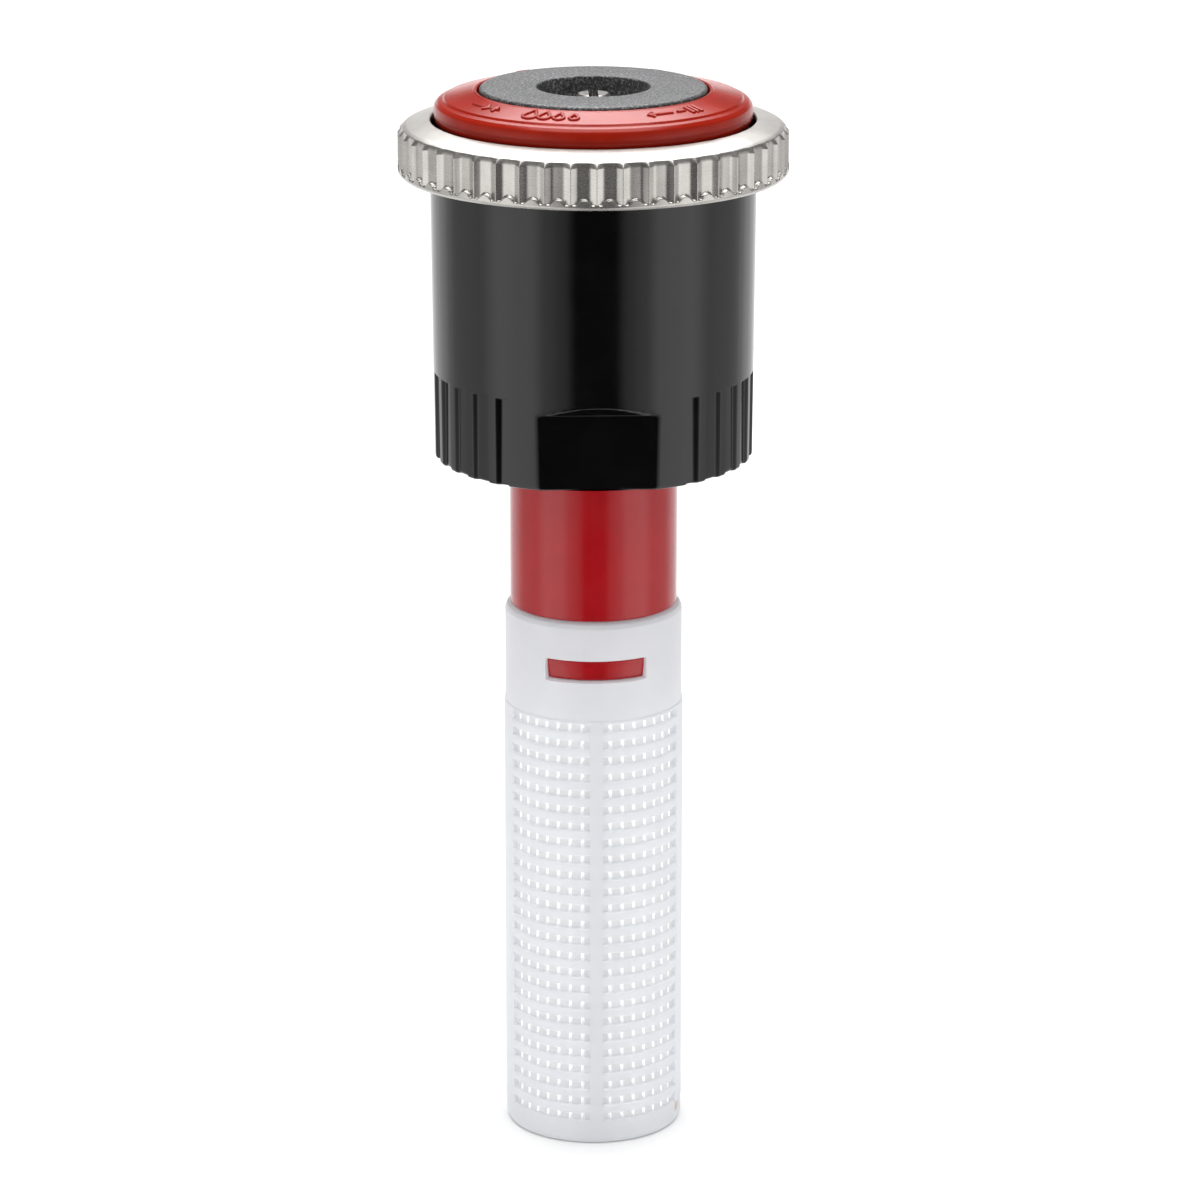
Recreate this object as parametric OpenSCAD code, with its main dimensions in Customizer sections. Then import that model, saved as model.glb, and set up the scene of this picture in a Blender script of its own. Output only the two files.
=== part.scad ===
// Multi-stream rotary nozzle for a pop-up sprinkler, with its clip-on filter screen.
// It stands on the foot of its filter: +Z is up, and the origin is at the middle of the foot.
// All sizes are in millimetres.

/* [Filter] */
// Height of the filter from its foot to the lip of its collar
filter_h = 40.7; // [34:0.1:50]
// Distance that the filter's ribs stand out beyond its collar
rib_step = 0.1; // [0.05:0.01:0.3]
// Distance that the filter's collar stands out beyond the stem
collar_step = 0.38; // [0.1:0.01:0.6]
// Height of the solid collar above the screen
collar_h = 7.6; // [6:0.1:10]
// Thickness of the filter's wall
filter_wall = 1.0; // [0.7:0.05:1.2]
// Thickness of the filter's closed foot
foot_t = 1.5; // [0.8:0.1:3]
// Distance from one rib of the screen to the next
rib_pitch = 1.275; // [1:0.025:2]
// Height of each slot between two ribs
slot_h = 0.62; // [0.3:0.02:0.9]
// Width of the spine down the front and the back of the screen
spine_w = 1.0; // [0.6:0.1:2]
// Half the angle of the solid wall on each side of the screen
side_wall_angle = 24; // [10:1:40]
// Height of the catch window in the collar
window_h = 1.5; // [1:0.1:2.5]
// Half the angle of the catch window
window_angle = 34.6; // [20:0.2:40]
// Height of the catch window's sill above the foot of the collar
window_sill = 3.3; // [2.4:0.1:4.2]

/* [Stem] */
// Length of stem that shows between the filter and the nozzle body
stem_show = 11.26; // [8:0.1:16]
// Outer radius of the stem
stem_r = 6.17; // [5.9:0.01:6.6]
// Wall of the stem
stem_wall = 0.97; // [0.7:0.01:1.1]
// Width of the flange on top of the stem
stem_flange_w = 2.13; // [1.9:0.01:2.3]
// Thickness of the stem's flange
stem_flange_t = 0.75; // [0.6:0.05:1.2]
// Distance that the catch barb stands out from the spigot
barb_h = 0.8; // [0.5:0.05:0.9]
// Length of the spigot that hangs inside the filter
spigot_len = 6.4; // [5.6:0.1:7]

/* [Nozzle body] */
// Height of the nozzle body from its rim to the shoulder under the ring
body_h = 20.99; // [19.5:0.1:28]
// Distance that the body's shoulder stands out beyond the rotor plate
body_step = 0.29; // [0.1:0.01:0.6]
// Distance that the body draws in from its shoulder to its lower rim
body_draft = 0.18; // [0:0.01:0.4]
// Major radius of the thread that takes the riser
thread_r = 7.94; // [7.9:0.01:9]
// Depth of the threaded socket below the riser washer
thread_depth = 7.24; // [6:0.1:8]
// Thickness of the web above the socket
web_t = 1.6; // [1.4:0.1:2.4]
// Depth of each wrench flat, from the body's rim
flat_d = 0.79; // [0.4:0.01:1]
// Height of the wrench flats
flat_h = 5.44; // [4:0.1:8]
// Height of the bevel above the wrench flats, which is also its depth
flat_bevel = 1.0; // [0.5:0.1:1.5]
// Number of grip pockets on each side
pockets = 11; // [5:1:11]
// Angle from one grip pocket to the next
pocket_pitch = 11; // [9:0.5:11]
// Width of each grip pocket
pocket_w = 1.5; // [0.8:0.05:1.7]
// Depth of each grip pocket
pocket_d = 0.3; // [0.2:0.05:0.6]
// Height of the grip pockets
pocket_h = 6.44; // [4:0.1:9]

/* [Grip ring] */
// Distance from the opening in the ring's top to its outer wall
ring_top_w = 2.4; // [2:0.05:3.5]
// Height of the ring's fluted wall
ring_h = 3.5; // [3.3:0.1:5]
// Rise of the ring's top face from its shoulder to its inner edge
ring_crown = 0.51; // [0.3:0.05:0.8]
// Gap between the rotor plate and the ring's opening
mouth_gap = 0.21; // [0.2:0.01:0.6]
// Thickness of the steel
ring_steel = 0.5; // [0.35:0.05:0.6]
// Thickness of the ring's wall over the flutes
ring_wall = 0.85; // [0.6:0.05:1]
// Number of flutes
flutes = 48; // [24:1:60]
// Radius of the tool that presses each flute
flute_r = 1.1; // [0.8:0.05:2]
// Depth of each flute
flute_d = 0.3; // [0.1:0.02:0.4]
// Plain band below the flutes
flute_band = 0.7; // [0.4:0.05:1.2]
// Turn of the flutes from the front
flute_turn = 3; // [0:0.5:7]

/* [Rotor] */
// Widest radius of the rotor plate
rotor_r = 11.54; // [11:0.02:14]
// Distance from the rotor plate's widest place in to the step line on its top face
rotor_line_in = 0.74; // [0.5:0.02:1.2]
// Radius of the cap in the middle of the rotor plate
cap_r = 8.22; // [6.8:0.02:9.9]
// Height of the cap's top above the ring
cap_rise = 2.24; // [2:0.02:3]
// Thickness of the cap's disc
cap_t = 1.65; // [1.3:0.05:1.8]
// Radius of the tool hole in the cap
tool_r = 4.07; // [3.2:0.01:5]
// Overhang of the rotor plate's rim beyond the wall where the streams leave
rim_overhang = 1.94; // [1.9:0.02:2.6]
// Number of stream grooves
grooves = 16; // [8:1:18]
// Radius of each stream groove
groove_r = 0.75; // [0.4:0.05:0.8]
// Radius of the brake chamber inside the rotor
chamber_r = 5.6; // [5:0.05:5.7]
// Height of the brake chamber
chamber_h = 2.35; // [2.2:0.05:2.6]

/* [Shaft and lift] */
// Radius of the adjusting shaft
shaft_r = 1.6; // [1.3:0.05:1.95]
// Step from the shaft down to its drive end
drive_step = 0.35; // [0.3:0.05:0.5]
// Step from the shaft down to its threaded end, over the thread
screw_step = 0.1; // [0.05:0.05:0.25]
// Distance that water lifts the head
lift = 4.5; // [3:0.1:5]
// Distance that the throttle nut travels over the whole adjustment
throttle_travel = 1.6; // [0.8:0.1:1.8]
// Wall of the lift sleeve
sleeve_wall = 0.75; // [0.5:0.05:0.9]
// Distance that the key stands out of the lift sleeve
key_h = 0.45; // [0.3:0.05:0.5]
// Width of the key on the lift sleeve
key_w = 0.8; // [0.5:0.1:1.2]
// Thickness of the two legs that keep the nut from turning
leg_t = 0.8; // [0.6:0.05:0.9]
// Width of the two legs
leg_w = 1.2; // [0.8:0.1:1.6]
// Distance that the throttle nut laps over its seat
nut_lap = 0.3; // [0.15:0.05:0.35]
// Height of the throttle nut
nut_h = 3.0; // [2:0.1:3.2]
// Thickness of the throttle seat
seat_t = 1.2; // [0.8:0.1:2]
// Distance from the key out to the middle of the spring's wire
spring_out = 0.6; // [0.5:0.05:0.7]
// Diameter of the lift spring's wire
spring_wire = 0.55; // [0.3:0.05:0.6]
// Number of turns in the lift spring
spring_turns = 6; // [4:1:9]

/* [Fits] */
// Radial running clearance round a turning or sliding shaft
run = 0.05; // [0.02:0.01:0.08]
// Radial clearance of a snug fit in one body
snug = 0.02; // [0:0.01:0.04]
// Gap between moving pieces that don't guide each other
free = 0.3; // [0.2:0.05:0.4]
// Gap between two faces that meet end to end
face_gap = 0.05; // [0.02:0.01:0.1]

/* [Hidden] */
$fn = 96;
eps = 0.01;

// Heights, from the foot upwards
screen_h = filter_h - collar_h;
window_z = screen_h + window_sill;
rim_z = filter_h + stem_show;
washer_z = rim_z + thread_depth;
washer_t = 1.0;
web_z = washer_z + washer_t;
web_top_z = web_z + web_t;
shoulder_z = rim_z + body_h;
deck_z = shoulder_z + ring_h + ring_crown;
top_z = deck_z + cap_rise;

// Filter and stem radii
collar_r = stem_r + collar_step;
filter_r = collar_r + rib_step;
stem_flange_r = stem_r + stem_flange_w;
seal_section = 0.42;
seal_mean_r = stem_r + 0.6;

// Body and ring radii
body_top_r = rotor_r + body_step;
body_rim_r = body_top_r - body_draft;
flat_r = body_rim_r - flat_d;
ring_mouth_r = rotor_r + mouth_gap;
ring_r = ring_mouth_r + ring_top_w;
deflector_r = rotor_r - rim_overhang;
cavity_r = stem_flange_r + free;
bowl_r = deflector_r + free;
spigot_r = bowl_r + 0.7;
spigot_lip_r = spigot_r + 0.5;
spigot_top_z = deck_z - 0.96;
lip_h = 0.8;

// Stem
stem_bore_r = stem_r - stem_wall;
stem_top_z = web_top_z + face_gap + stem_flange_t;
spigot_out_r = collar_r - filter_wall - run;
spigot_bore_r = spigot_out_r - 0.8;
spigot_step_z = filter_h - 0.5;

// Rotor
rotor_under_z = deck_z - 0.46;
rotor_widest_z = deck_z + 0.54;
rotor_line_z = deck_z + 1.49;
rotor_line_r = rotor_r - rotor_line_in;
cap_pocket_r = cap_r + 0.2;
cap_pocket_z = top_z - cap_t - face_gap;
rotor_lip_z = top_z - 0.2;
hub_r = chamber_r + 0.55;
retainer_t = 0.7;
retainer_z = cap_pocket_z - 1.85;
chamber_z = retainer_z - chamber_h;
hub_z = retainer_z + retainer_t + face_gap;
tool_floor_z = top_z - 1.7;
groove_top_z = rotor_under_z - 1.9;
neck_z = chamber_z - 6.8;
neck_r = shaft_r + free + 1.4;
bearing_r = shaft_r + 0.9;
bearing_h = 1.7;
seal_h = 0.6;
bearing_z = chamber_z - bearing_h;
lower_seal_z = bearing_z - face_gap - seal_h;

// Shaft and lift
drive_z = tool_floor_z + 0.1;
shaft_top_z = top_z - 0.5;
sleeve_top_z = neck_z - 0.9;
clip_t = 0.4;
clip_r = shaft_r + 0.7;
guide_top_z = stem_top_z + 0.4;
guide_z = guide_top_z - 3.45;
spring_top_z = guide_z - face_gap;
spring_z = spring_top_z - 11.2;
flange_t = 1.2;
flange_z = spring_z - face_gap - flange_t;
lower_clip_t = 0.6;
lower_clip_z = flange_z - 0.1 - lower_clip_t;
lower_clip_r = shaft_r + 1.1;
nut_z = lower_clip_z - 0.5 - throttle_travel - nut_h;
shaft_z = nut_z - 1.4;
leg_z = nut_z - 0.6;
leg_in_r = lower_clip_r + free;
leg_out_r = leg_in_r + leg_t;
throttle_seat_z = nut_z + nut_h + throttle_travel + lift + free;
drive_r = shaft_r - drive_step;
screw_r = shaft_r - screw_step;
sleeve_r = shaft_r + run + sleeve_wall;
key_r = sleeve_r + key_h;
spring_r = key_r + spring_out;
sleeve_flange_r = leg_out_r + 0.15;
seat_bore_r = sleeve_flange_r + 0.35;
nut_r = seat_bore_r + nut_lap;

// A ring with a rectangular section
module tube(r_out, r_in, h) {
    rotate_extrude() translate([r_in, 0]) square([r_out - r_in, h]);
}

// A part of a ring between two angles from +X
module sector(r_out, r_in, h, from, to) {
    rotate([0, 0, from]) rotate_extrude(angle = to - from)
        translate([r_in, 0]) square([r_out - r_in, h]);
}

// Puts copies of its child at even steps round the axis
module around(count, turn = 0) {
    for (i = [0 : count - 1]) rotate([0, 0, turn + i * 360 / count]) children();
}

// Closed shell of body, with the riser's socket below and the rotor's bowl above
module nozzle_body() {
    color([0.05, 0.05, 0.055]) difference() {
        union() {
            translate([0, 0, rim_z]) cylinder(h = body_h, r1 = body_rim_r, r2 = body_top_r);
            translate([0, 0, shoulder_z - eps]) cylinder(h = spigot_top_z - shoulder_z + eps, r = spigot_r);
            translate([0, 0, spigot_top_z - lip_h]) cylinder(h = lip_h, r = spigot_lip_r);
        }
        translate([0, 0, rim_z - 1]) cylinder(h = thread_depth + washer_t + 1, r = thread_r);
        translate([0, 0, web_z - 1]) cylinder(h = web_t + 2, r = stem_r + run);
        translate([0, 0, web_top_z - 2 * seal_section - face_gap])
            cylinder(h = web_t, r = seal_mean_r + seal_section + face_gap);
        translate([0, 0, web_top_z]) cylinder(h = body_h, r = cavity_r);
        translate([0, 0, neck_z - 0.5]) cylinder(h = body_h, r = bowl_r);
        for (side = [0, 180]) rotate([0, 0, side]) wrench_flat_cut();
        for (side = [0, 180], i = [0 : pockets - 1])
            rotate([0, 0, side]) grip_pocket_cut((i - (pockets - 1) / 2) * pocket_pitch);
    }
}

// The material taken off for one wrench flat, with a bevel that runs out above it
module wrench_flat_cut() {
    reach = body_top_r + 1;
    run_out = reach - flat_r;
    translate([-reach, 0, 0]) rotate([90, 0, 90]) linear_extrude(2 * reach)
        polygon([
            [-flat_r, rim_z - 1], [-flat_r, rim_z + flat_h],
            [-flat_r - run_out, rim_z + flat_h + run_out * flat_bevel], [-reach, rim_z - 1]
        ]);
}

// One grip pocket, open at the body's rim, with side walls that lie along the X axis
module grip_pocket_cut(turn) {
    width = pocket_w * cos(turn);
    intersection() {
        translate([0, 0, rim_z - 1]) tube(body_top_r + 1, body_rim_r - pocket_d, pocket_h + 1);
        translate([0, body_rim_r * sin(turn) - width / 2, rim_z - 2])
            cube([body_top_r + 2, width, pocket_h + 4]);
    }
}

// Tube that carries water up from the filter, with a flange on top and a barbed spigot below
module stem() {
    color([0.78, 0.11, 0.10]) {
        difference() {
            union() {
                translate([0, 0, filter_h + face_gap])
                    cylinder(h = stem_top_z - filter_h - face_gap, r = stem_r);
                translate([0, 0, stem_top_z - stem_flange_t]) cylinder(h = stem_flange_t, r = stem_flange_r);
                translate([0, 0, filter_h - spigot_len]) cylinder(h = spigot_len + 1, r = spigot_out_r);
                for (side = [0, 180]) rotate([0, 0, side - 90]) catch_barb();
            }
            translate([0, 0, filter_h - spigot_len - 1]) cylinder(h = spigot_len + 2, r = spigot_bore_r);
            translate([0, 0, spigot_step_z]) cylinder(h = stem_top_z, r = stem_bore_r);
        }
    }
}

// A barb with a sloping lead-in below and a flat catch on top
module catch_barb() {
    half = window_angle - 3;
    low = window_z + 0.1;
    high = window_z + window_h - 0.1;
    rotate([0, 0, -half]) rotate_extrude(angle = 2 * half)
        polygon([
            [spigot_out_r - 0.3, low], [spigot_out_r, low],
            [spigot_out_r + barb_h, high - 0.3], [spigot_out_r + barb_h, high],
            [spigot_out_r - 0.3, high]
        ]);
}

// Round ring that seals the stem's flange to the web
module stem_seal() {
    color([0.08, 0.08, 0.08]) translate([0, 0, web_top_z - seal_section])
        rotate_extrude() translate([seal_mean_r, 0]) circle(r = seal_section, $fn = 32);
}

// Flat rubber washer that the end of the riser seals against
module riser_washer() {
    color([0.12, 0.12, 0.12]) translate([0, 0, washer_z])
        tube(thread_r - run, stem_r + run, washer_t);
}

// Throat that aims the water up at the deflector
module nozzle_insert() {
    height = 2.9;
    lip_r = neck_r + 1.9;
    color([0.16, 0.16, 0.17]) translate([0, 0, guide_top_z + face_gap]) rotate_extrude()
        polygon([
            [neck_r + 1.3, 0], [cavity_r - run, 0], [cavity_r - run, 1.2],
            [lip_r, height], [neck_r + 0.6, height], [neck_r + 0.6, height - 0.5]
        ]);
}

// Spider that centres the lift sleeve in the stem and stops it turning
module shaft_guide() {
    hub_out_r = spring_r + 0.45;
    ring_in_r = stem_bore_r - 0.5;
    height = guide_top_z - guide_z;
    color([0.82, 0.82, 0.80]) translate([0, 0, guide_z]) difference() {
        union() {
            tube(stem_bore_r - snug, ring_in_r, height);
            translate([0, 0, height - 0.4 + face_gap]) tube(stem_r, ring_in_r, 0.4 - face_gap);
            tube(hub_out_r, sleeve_r + run, height);
            around(4, 45) translate([hub_out_r - 0.4, -0.5, 0])
                cube([ring_in_r - hub_out_r + 0.6, 1, height]);
        }
        translate([0, -key_w / 2 - run, -1]) cube([key_r + run, key_w + 2 * run, height + 2]);
    }
}

// Ring in the stem that the throttle nut closes against
module throttle_seat() {
    color([0.82, 0.82, 0.80]) translate([0, 0, throttle_seat_z])
        tube(stem_bore_r - snug, seat_bore_r, seat_t);
}

// Basket of ribs with two spines, two solid sides, a closed foot and a collar with two catch windows
module filter_screen() {
    slots = floor((screen_h - 2.1 - slot_h / 2) / rib_pitch) + 1;
    bore_r = filter_r - filter_wall;
    spine_angle = asin(spine_w / 2 / filter_r);
    color([0.93, 0.93, 0.94]) difference() {
        union() {
            cylinder(h = screen_h, r = filter_r);
            translate([0, 0, screen_h - eps]) cylinder(h = collar_h + eps, r = collar_r);
        }
        translate([0, 0, foot_t]) cylinder(h = screen_h - foot_t + eps, r = bore_r);
        translate([0, 0, screen_h]) cylinder(h = collar_h + 1, r = collar_r - filter_wall);
        for (i = [0 : slots - 1], side = [0, 180], half = [0, 1])
            translate([0, 0, 2.1 + i * rib_pitch - slot_h / 2]) rotate([0, 0, side])
                sector(
                    filter_r + 1, bore_r - 0.3, slot_h,
                    half == 0 ? side_wall_angle : 90 + spine_angle,
                    half == 0 ? 90 - spine_angle : 180 - side_wall_angle
                );
        for (side = [0, 180]) translate([0, 0, window_z]) rotate([0, 0, side - 90])
            sector(collar_r + 1, collar_r - filter_wall - 1, window_h, -window_angle, window_angle);
    }
}

// Plastic carrier that turns on the body's spigot under its lip and holds the steel ring
module ring_carrier() {
    step_z = spigot_top_z - lip_h - 0.2;
    floor_z = shoulder_z + 0.1;
    carrier_top_z = deck_z - ring_steel - ring_crown - face_gap;
    color([0.09, 0.09, 0.095]) difference() {
        translate([0, 0, floor_z])
            cylinder(h = carrier_top_z - floor_z, r = ring_r - ring_wall - snug);
        translate([0, 0, floor_z - 1]) cylinder(h = body_h, r = spigot_r + run);
        translate([0, 0, step_z]) cylinder(h = body_h, r = spigot_lip_r + run);
    }
}

// Pressed steel ring with a fluted wall
module grip_ring() {
    shoulder_r = ring_r - 0.45;
    wall_top_z = deck_z - ring_crown;
    color([0.78, 0.77, 0.74]) difference() {
        rotate_extrude() polygon([
            [ring_r - ring_wall, shoulder_z], [ring_r - 0.25, shoulder_z], [ring_r, shoulder_z + 0.25],
            [ring_r, wall_top_z - 0.45], [ring_r - 0.13, wall_top_z - 0.13], [shoulder_r, wall_top_z],
            [ring_mouth_r, deck_z], [ring_mouth_r, deck_z - ring_steel],
            [ring_r - ring_wall, wall_top_z - ring_steel]
        ]);
        around(flutes, flute_turn - 90) translate([ring_r + flute_r - flute_d, 0, shoulder_z + flute_band])
            cylinder(h = ring_h, r = flute_r, $fn = 32);
    }
}

// Keyed sleeve that rises and falls in the guide and carries the shaft
module lift_sleeve() {
    color([0.85, 0.85, 0.83]) difference() {
        union() {
            translate([0, 0, flange_z]) cylinder(h = sleeve_top_z - flange_z, r = sleeve_r);
            translate([0, 0, flange_z]) cylinder(h = flange_t, r = sleeve_flange_r);
            translate([0, -key_w / 2, flange_z + lift + 1])
                cube([key_r, key_w, guide_top_z - flange_z - lift - 1]);
            for (side = [0, 180]) rotate([0, 0, side]) translate([leg_in_r, -leg_w / 2, leg_z])
                cube([leg_out_r - leg_in_r, leg_w, flange_z + flange_t / 2 - leg_z]);
        }
        translate([0, 0, flange_z - 1]) cylinder(h = sleeve_top_z - flange_z + 2, r = shaft_r + run);
    }
}

// Points of the ring of wire at one step of the spring
function coil_ring(i, steps, sides, length) = [
    for (j = [0 : sides - 1])
        let (
            turn = 360 * spring_turns * i / steps,
            side = 360 * j / sides,
            r = spring_r + spring_wire / 2 * cos(side)
        )
        [
            r * cos(turn), r * sin(turn),
            spring_wire / 2 + (length - spring_wire) * i / steps + spring_wire / 2 * sin(side)
        ]
];

// Return spring that pulls the head down when the water stops
module lift_spring() {
    steps = spring_turns * 16;
    sides = 8;
    length = spring_top_z - spring_z;
    points = [for (i = [0 : steps]) each coil_ring(i, steps, sides, length)];
    walls = [
        for (i = [0 : steps - 1], j = [0 : sides - 1])
            let (k = (j + 1) % sides)
            [i * sides + j, (i + 1) * sides + j, (i + 1) * sides + k, i * sides + k]
    ];
    first = [for (j = [0 : sides - 1]) j];
    last = [for (j = [sides - 1 : -1 : 0]) steps * sides + j];
    color([0.70, 0.71, 0.72]) translate([0, 0, spring_z])
        polyhedron(points, concat([first, last], walls));
}

// Shaft with a slotted drive end above and a screw below
module adjusting_shaft() {
    groove_r = shaft_r - 0.3;
    color([0.80, 0.80, 0.80]) difference() {
        union() {
            translate([0, 0, shaft_z]) cylinder(h = drive_z - shaft_z, r = screw_r);
            translate([0, 0, lower_clip_z - 0.2]) cylinder(h = drive_z - lower_clip_z + 0.2, r = shaft_r);
            translate([0, 0, drive_z - eps]) cylinder(h = shaft_top_z - drive_z - 0.2 + eps, r = drive_r);
            translate([0, 0, shaft_top_z - 0.2]) cylinder(h = 0.2, r1 = drive_r, r2 = drive_r - 0.2);
        }
        translate([-0.35, -shaft_r, shaft_top_z - 0.5]) cube([0.7, 2 * shaft_r, 1]);
        translate([0, 0, lower_clip_z]) tube(shaft_r + 1, groove_r, lower_clip_t);
        translate([0, 0, sleeve_top_z + 0.1]) tube(shaft_r + 1, groove_r, clip_t);
    }
}

// Retaining clip on the shaft, open at one side
module clip(r, t) {
    color([0.62, 0.63, 0.65]) difference() {
        tube(r, shaft_r - 0.3 + snug, t);
        translate([0, -shaft_r * 0.45, -1]) cube([r + 1, shaft_r * 0.9, t + 2]);
    }
}

// Clip above the lift sleeve
module upper_clip() {
    translate([0, 0, sleeve_top_z + 0.1 + snug]) clip(clip_r, clip_t - 2 * snug);
}

// Clip below the lift sleeve
module lower_clip() {
    translate([0, 0, lower_clip_z + snug]) clip(lower_clip_r, lower_clip_t - 2 * snug);
}

// Disc fixed to the shaft that shears the silicone fluid in the brake chamber
module damper_stator() {
    gap = 0.35;
    color([0.72, 0.72, 0.70]) translate([0, 0, chamber_z + gap])
        tube(chamber_r - gap, shaft_r + snug, chamber_h - 2 * gap);
}

// Nut that rises on the screw as the shaft turns, kept from turning by the sleeve's legs
module throttle_nut() {
    color([0.85, 0.85, 0.83]) difference() {
        union() {
            translate([0, 0, nut_z + 0.6]) cylinder(h = nut_h - 0.6, r = nut_r);
            translate([0, 0, nut_z]) cylinder(h = 0.6, r1 = nut_r - 0.6, r2 = nut_r);
        }
        translate([0, 0, nut_z - 1]) cylinder(h = nut_h + 2, r = screw_r + run);
        for (side = [0, 180]) rotate([0, 0, side])
            translate([leg_in_r - 0.15, -leg_w / 2 - 0.15, nut_z - 1])
                cube([leg_out_r - leg_in_r + 0.3, leg_w + 0.3, nut_h + 2]);
    }
}

// Turning plate: stream grooves below, brake chamber inside, rounded rim outside
module rotor_plate() {
    color([0.74, 0.13, 0.11]) difference() {
        rotate_extrude() polygon([
            [shaft_r + free, neck_z], [neck_r, neck_z], [neck_r + 0.2, neck_z + 2],
            [neck_r + 0.9, neck_z + 3.9], [neck_r + 2.3, neck_z + 5.5], [neck_r + 4.1, neck_z + 6.8],
            [deflector_r, groove_top_z], [deflector_r, rotor_under_z], [rotor_r - 0.34, rotor_under_z],
            [rotor_r - 0.1, rotor_under_z + 0.4], [rotor_r, rotor_widest_z],
            [rotor_r - 0.06, rotor_widest_z + 0.35], [rotor_r - 0.3, rotor_line_z - 0.25],
            [rotor_line_r, rotor_line_z], [cap_pocket_r, rotor_lip_z], [cap_pocket_r, cap_pocket_z],
            [hub_r, cap_pocket_z], [hub_r, retainer_z], [chamber_r, retainer_z],
            [chamber_r, chamber_z], [bearing_r, chamber_z], [bearing_r, lower_seal_z],
            [shaft_r + free, lower_seal_z]
        ]);
        around(grooves) stream_groove_cut();
    }
}

// One straight groove under the rotor plate, rising outwards
module stream_groove_cut() {
    from = [neck_r + 1.7, chamber_z - 2.3];
    to = [deflector_r + 0.4, groove_top_z + 0.45];
    rise = atan2(to[1] - from[1], to[0] - from[0]);
    translate([from[0], 0, from[1]]) rotate([0, 90 - rise, 0])
        cylinder(h = norm(to - from) + 1.2, r = groove_r, $fn = 32);
}

// Cap that closes the brake chamber, with the tool hole down to the drive end
module rotor_cap() {
    color([0.33, 0.34, 0.35]) difference() {
        union() {
            translate([0, 0, top_z - cap_t]) cylinder(h = cap_t, r = cap_r);
            translate([0, 0, hub_z]) cylinder(h = top_z - hub_z - 0.5, r = hub_r - 0.75);
            translate([0, 0, hub_z + seal_h]) cylinder(h = top_z - hub_z - seal_h - 0.5, r = hub_r - run);
        }
        translate([0, 0, tool_floor_z]) cylinder(h = cap_t + 2, r = tool_r);
        translate([0, 0, hub_z - 1]) cylinder(h = cap_t + 3, r = shaft_r + free);
        translate([0, 0, hub_z - 1]) cylinder(h = seal_h + 1, r = bearing_r + 0.4);
    }
}

// Disc that closes the chamber and holds the upper bearing
module damper_retainer() {
    color([0.55, 0.55, 0.53]) translate([0, 0, retainer_z])
        tube(hub_r - snug, bearing_r + 0.4, retainer_t);
}

// Bush at the top of the chamber
module upper_bearing() {
    color([0.72, 0.55, 0.28]) translate([0, 0, retainer_z])
        tube(bearing_r + 0.4 - snug, shaft_r + run, retainer_t);
}

// Bush below the chamber
module lower_bearing() {
    color([0.72, 0.55, 0.28]) translate([0, 0, bearing_z])
        tube(bearing_r - snug, shaft_r + run, bearing_h);
}

// Lip seal above the upper bearing
module upper_seal() {
    color([0.10, 0.10, 0.10]) translate([0, 0, hub_z])
        tube(bearing_r + 0.4 - snug, shaft_r + run, seal_h - face_gap);
}

// Lip seal below the lower bearing
module lower_seal() {
    color([0.10, 0.10, 0.10]) translate([0, 0, lower_seal_z])
        tube(bearing_r - snug, shaft_r + run, seal_h);
}

// Ring that seals the rim of the retainer in the rotor plate
module chamber_seal() {
    color([0.10, 0.10, 0.10]) translate([0, 0, hub_z])
        tube(hub_r - snug, hub_r - 0.75 + snug, seal_h - face_gap);
}

nozzle_body();
stem();
stem_seal();
riser_washer();
nozzle_insert();
shaft_guide();
throttle_seat();
filter_screen();
ring_carrier();
grip_ring();
lift_sleeve();
lift_spring();
adjusting_shaft();
upper_clip();
lower_clip();
damper_stator();
throttle_nut();
rotor_plate();
rotor_cap();
damper_retainer();
upper_bearing();
lower_bearing();
upper_seal();
lower_seal();
chamber_seal();
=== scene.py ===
import math

import bmesh
import bpy
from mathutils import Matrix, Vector


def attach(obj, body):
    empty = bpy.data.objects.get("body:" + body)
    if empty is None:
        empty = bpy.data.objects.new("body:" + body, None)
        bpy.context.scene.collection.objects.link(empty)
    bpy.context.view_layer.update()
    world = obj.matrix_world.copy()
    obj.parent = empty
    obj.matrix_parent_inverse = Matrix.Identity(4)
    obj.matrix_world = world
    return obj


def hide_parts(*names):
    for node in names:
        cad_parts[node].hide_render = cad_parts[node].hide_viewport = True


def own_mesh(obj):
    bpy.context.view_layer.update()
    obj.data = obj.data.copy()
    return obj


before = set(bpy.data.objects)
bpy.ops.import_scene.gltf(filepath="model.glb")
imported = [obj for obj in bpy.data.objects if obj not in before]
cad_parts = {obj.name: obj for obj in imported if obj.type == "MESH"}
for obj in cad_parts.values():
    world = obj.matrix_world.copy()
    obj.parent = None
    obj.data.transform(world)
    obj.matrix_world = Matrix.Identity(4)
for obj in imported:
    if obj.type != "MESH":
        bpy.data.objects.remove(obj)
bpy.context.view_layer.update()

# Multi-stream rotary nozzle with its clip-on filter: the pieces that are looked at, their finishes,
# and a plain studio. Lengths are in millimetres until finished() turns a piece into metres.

MM = 0.001

# Heights above the filter's foot
SCREEN_TOP = 33.1    # where the ribs end and the filter's collar starts
COLLAR_TOP = 40.7
RIM = 51.96          # lower rim of the nozzle body
WASHER = 59.2        # underside of the riser washer
WEB = 60.2           # underside of the web above the threaded socket
WEB_TOP = 61.8
SHOULDER = 72.95     # top of the body's wall, where the grip ring starts
SPIGOT_TOP = 76.0
DECK = 76.96         # top edge of the grip ring
TOP = 79.2           # top of the cap

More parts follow.
